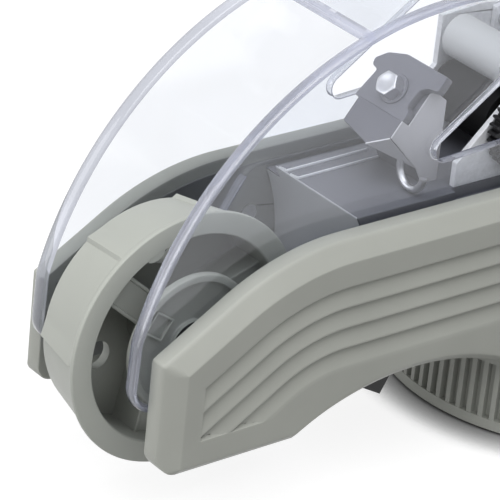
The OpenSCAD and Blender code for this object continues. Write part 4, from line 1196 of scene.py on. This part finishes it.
# Rounded edges on the moulded and cut pieces that keep their CAD shape
edgeRounds = {
    "front_housing": 0.9, "outlet_guard": 0.6, "switch_case": 0.35, "power_rocker": 0.35,
    "display_window": 0.25, "near_mech_plate": 0.3, "far_mech_plate": 0.3,
    "near_frame_plate": 0.4, "far_frame_plate": 0.4, "power_inlet": 0.6, "cutter_arm": 0.3, "deck": 0.3,
    "feed_motor": 0.5, "cutter_motor": 0.5, "base_plate": 0.5,
}
roundFacts = {"seam": 1e-6, "steps": 3, "fromAngle": 40}


def roundEdges(rounds, facts):
    for nodeName, width in rounds.items():
        node = nodes[nodeName]
        seam = node.modifiers.new("seam", "WELD")
        seam.merge_threshold = facts["seam"]
        edge = node.modifiers.new("edgeRound", "BEVEL")
        edge.width = width * mm
        edge.segments = facts["steps"]
        edge.limit_method = "ANGLE"
        edge.angle_limit = math.radians(facts["fromAngle"])
        edge.use_clamp_overlap = True
        edge.harden_normals = True


roundEdges(edgeRounds, roundFacts)
print("edges rounded,", len(edgeRounds))


# Lamps, world and floor
studio = {
    "ambient": 0.45,
    "aim": (-0.1, 0, 0.06),
    "key": {"place": (-0.6, -0.48, 1.42), "size": 1.6, "watts": 16.5},
    "fill": {"place": (-1.4, 0.6, 0.5), "size": 1.2, "watts": 5.5},
    "floorHalf": 6,
    "floorColour": (0.3, 0.3, 0.3, 1),
    "floorGlow": (0.84, 0.9),
    "glowReach": (0.12, 0.5),
    # Reach and sharpness of the painted shadow next to the machine
    "paintedShadowReach": 0.0152,
    "paintedShadowPower": 5.0,
}


def addLamp(name, facts, aim):
    data = bpy.data.lights.new(name, "AREA")
    data.energy = facts["watts"]
    data.shape = "DISK"
    data.size = facts["size"]
    lamp = bpy.data.objects.new(name, data)
    lamp.location = facts["place"]
    lamp.rotation_euler = (Vector(aim) - Vector(facts["place"])).to_track_quat("-Z", "Y").to_euler()
    bpy.context.scene.collection.objects.link(lamp)


# One for rays that see a surface, zero for those that only light it
def seenRays(tree):
    rays = addNode(tree, "LightPath").outputs
    mirrored = reckon(tree, "MAXIMUM", rays["Is Camera Ray"], rays["Is Glossy Ray"])
    return reckon(tree, "MAXIMUM", mirrored, rays["Is Transmission Ray"])


# Floor that glows where it is seen, also mirrored or through the cover, and is darkened close under the
# machine as painted shadow
def floorFinish(facts):
    material, tree, surface = newMaterial("paleFloor")
    paint = addNode(tree, "BsdfDiffuse", Color=facts["floorColour"])
    place = addNode(tree, "TexCoord")
    far = addNode(tree, "VectorMath", operation="LENGTH")
    join(place.outputs["Object"], far.inputs[0])
    spread = span(tree, far.outputs["Value"], *facts["floorGlow"], *facts["glowReach"])
    level = reckon(tree, "MULTIPLY", spread, seenRays(tree))
    # Painted shadow: the floor's glow is cut where ambient occlusion finds the machine close by
    nearby = addNode(tree, "AmbientOcclusion", samples=8, Distance=facts["paintedShadowReach"])
    paintedShadow = reckon(tree, "POWER", nearby.outputs["AO"], facts["paintedShadowPower"])
    glow = addNode(tree, "Emission")
    join(reckon(tree, "MULTIPLY", level, paintedShadow), glow.inputs["Strength"])
    both = addNode(tree, "AddShader")
    join(paint.outputs["BSDF"], both.inputs[0])
    join(glow.outputs["Emission"], both.inputs[1])
    join(both.outputs["Shader"], surface)
    return material


def setStudio(facts):
    world = bpy.data.worlds.new("studio")
    bpy.context.scene.world = world
    world.use_nodes = True
    tree = world.node_tree
    back = tree.nodes["Background"]
    back.inputs["Color"].default_value = (1, 1, 1, 1)
    join(span(tree, seenRays(tree), facts["ambient"], 1.0), back.inputs["Strength"])
    addLamp("keyLamp", facts["key"], facts["aim"])
    addLamp("fillLamp", facts["fill"], facts["aim"])
    half = facts["floorHalf"]
    mesh = bpy.data.meshes.new("floor")
    mesh.from_pydata([(x, y, 0) for x, y in rectangle(-half, half, half)], [], [(0, 1, 2, 3)])
    floor = bpy.data.objects.new("floor", mesh)
    floor.data.materials.append(floorFinish(facts))
    bpy.context.scene.collection.objects.link(floor)


setStudio(studio)
print("studio set")
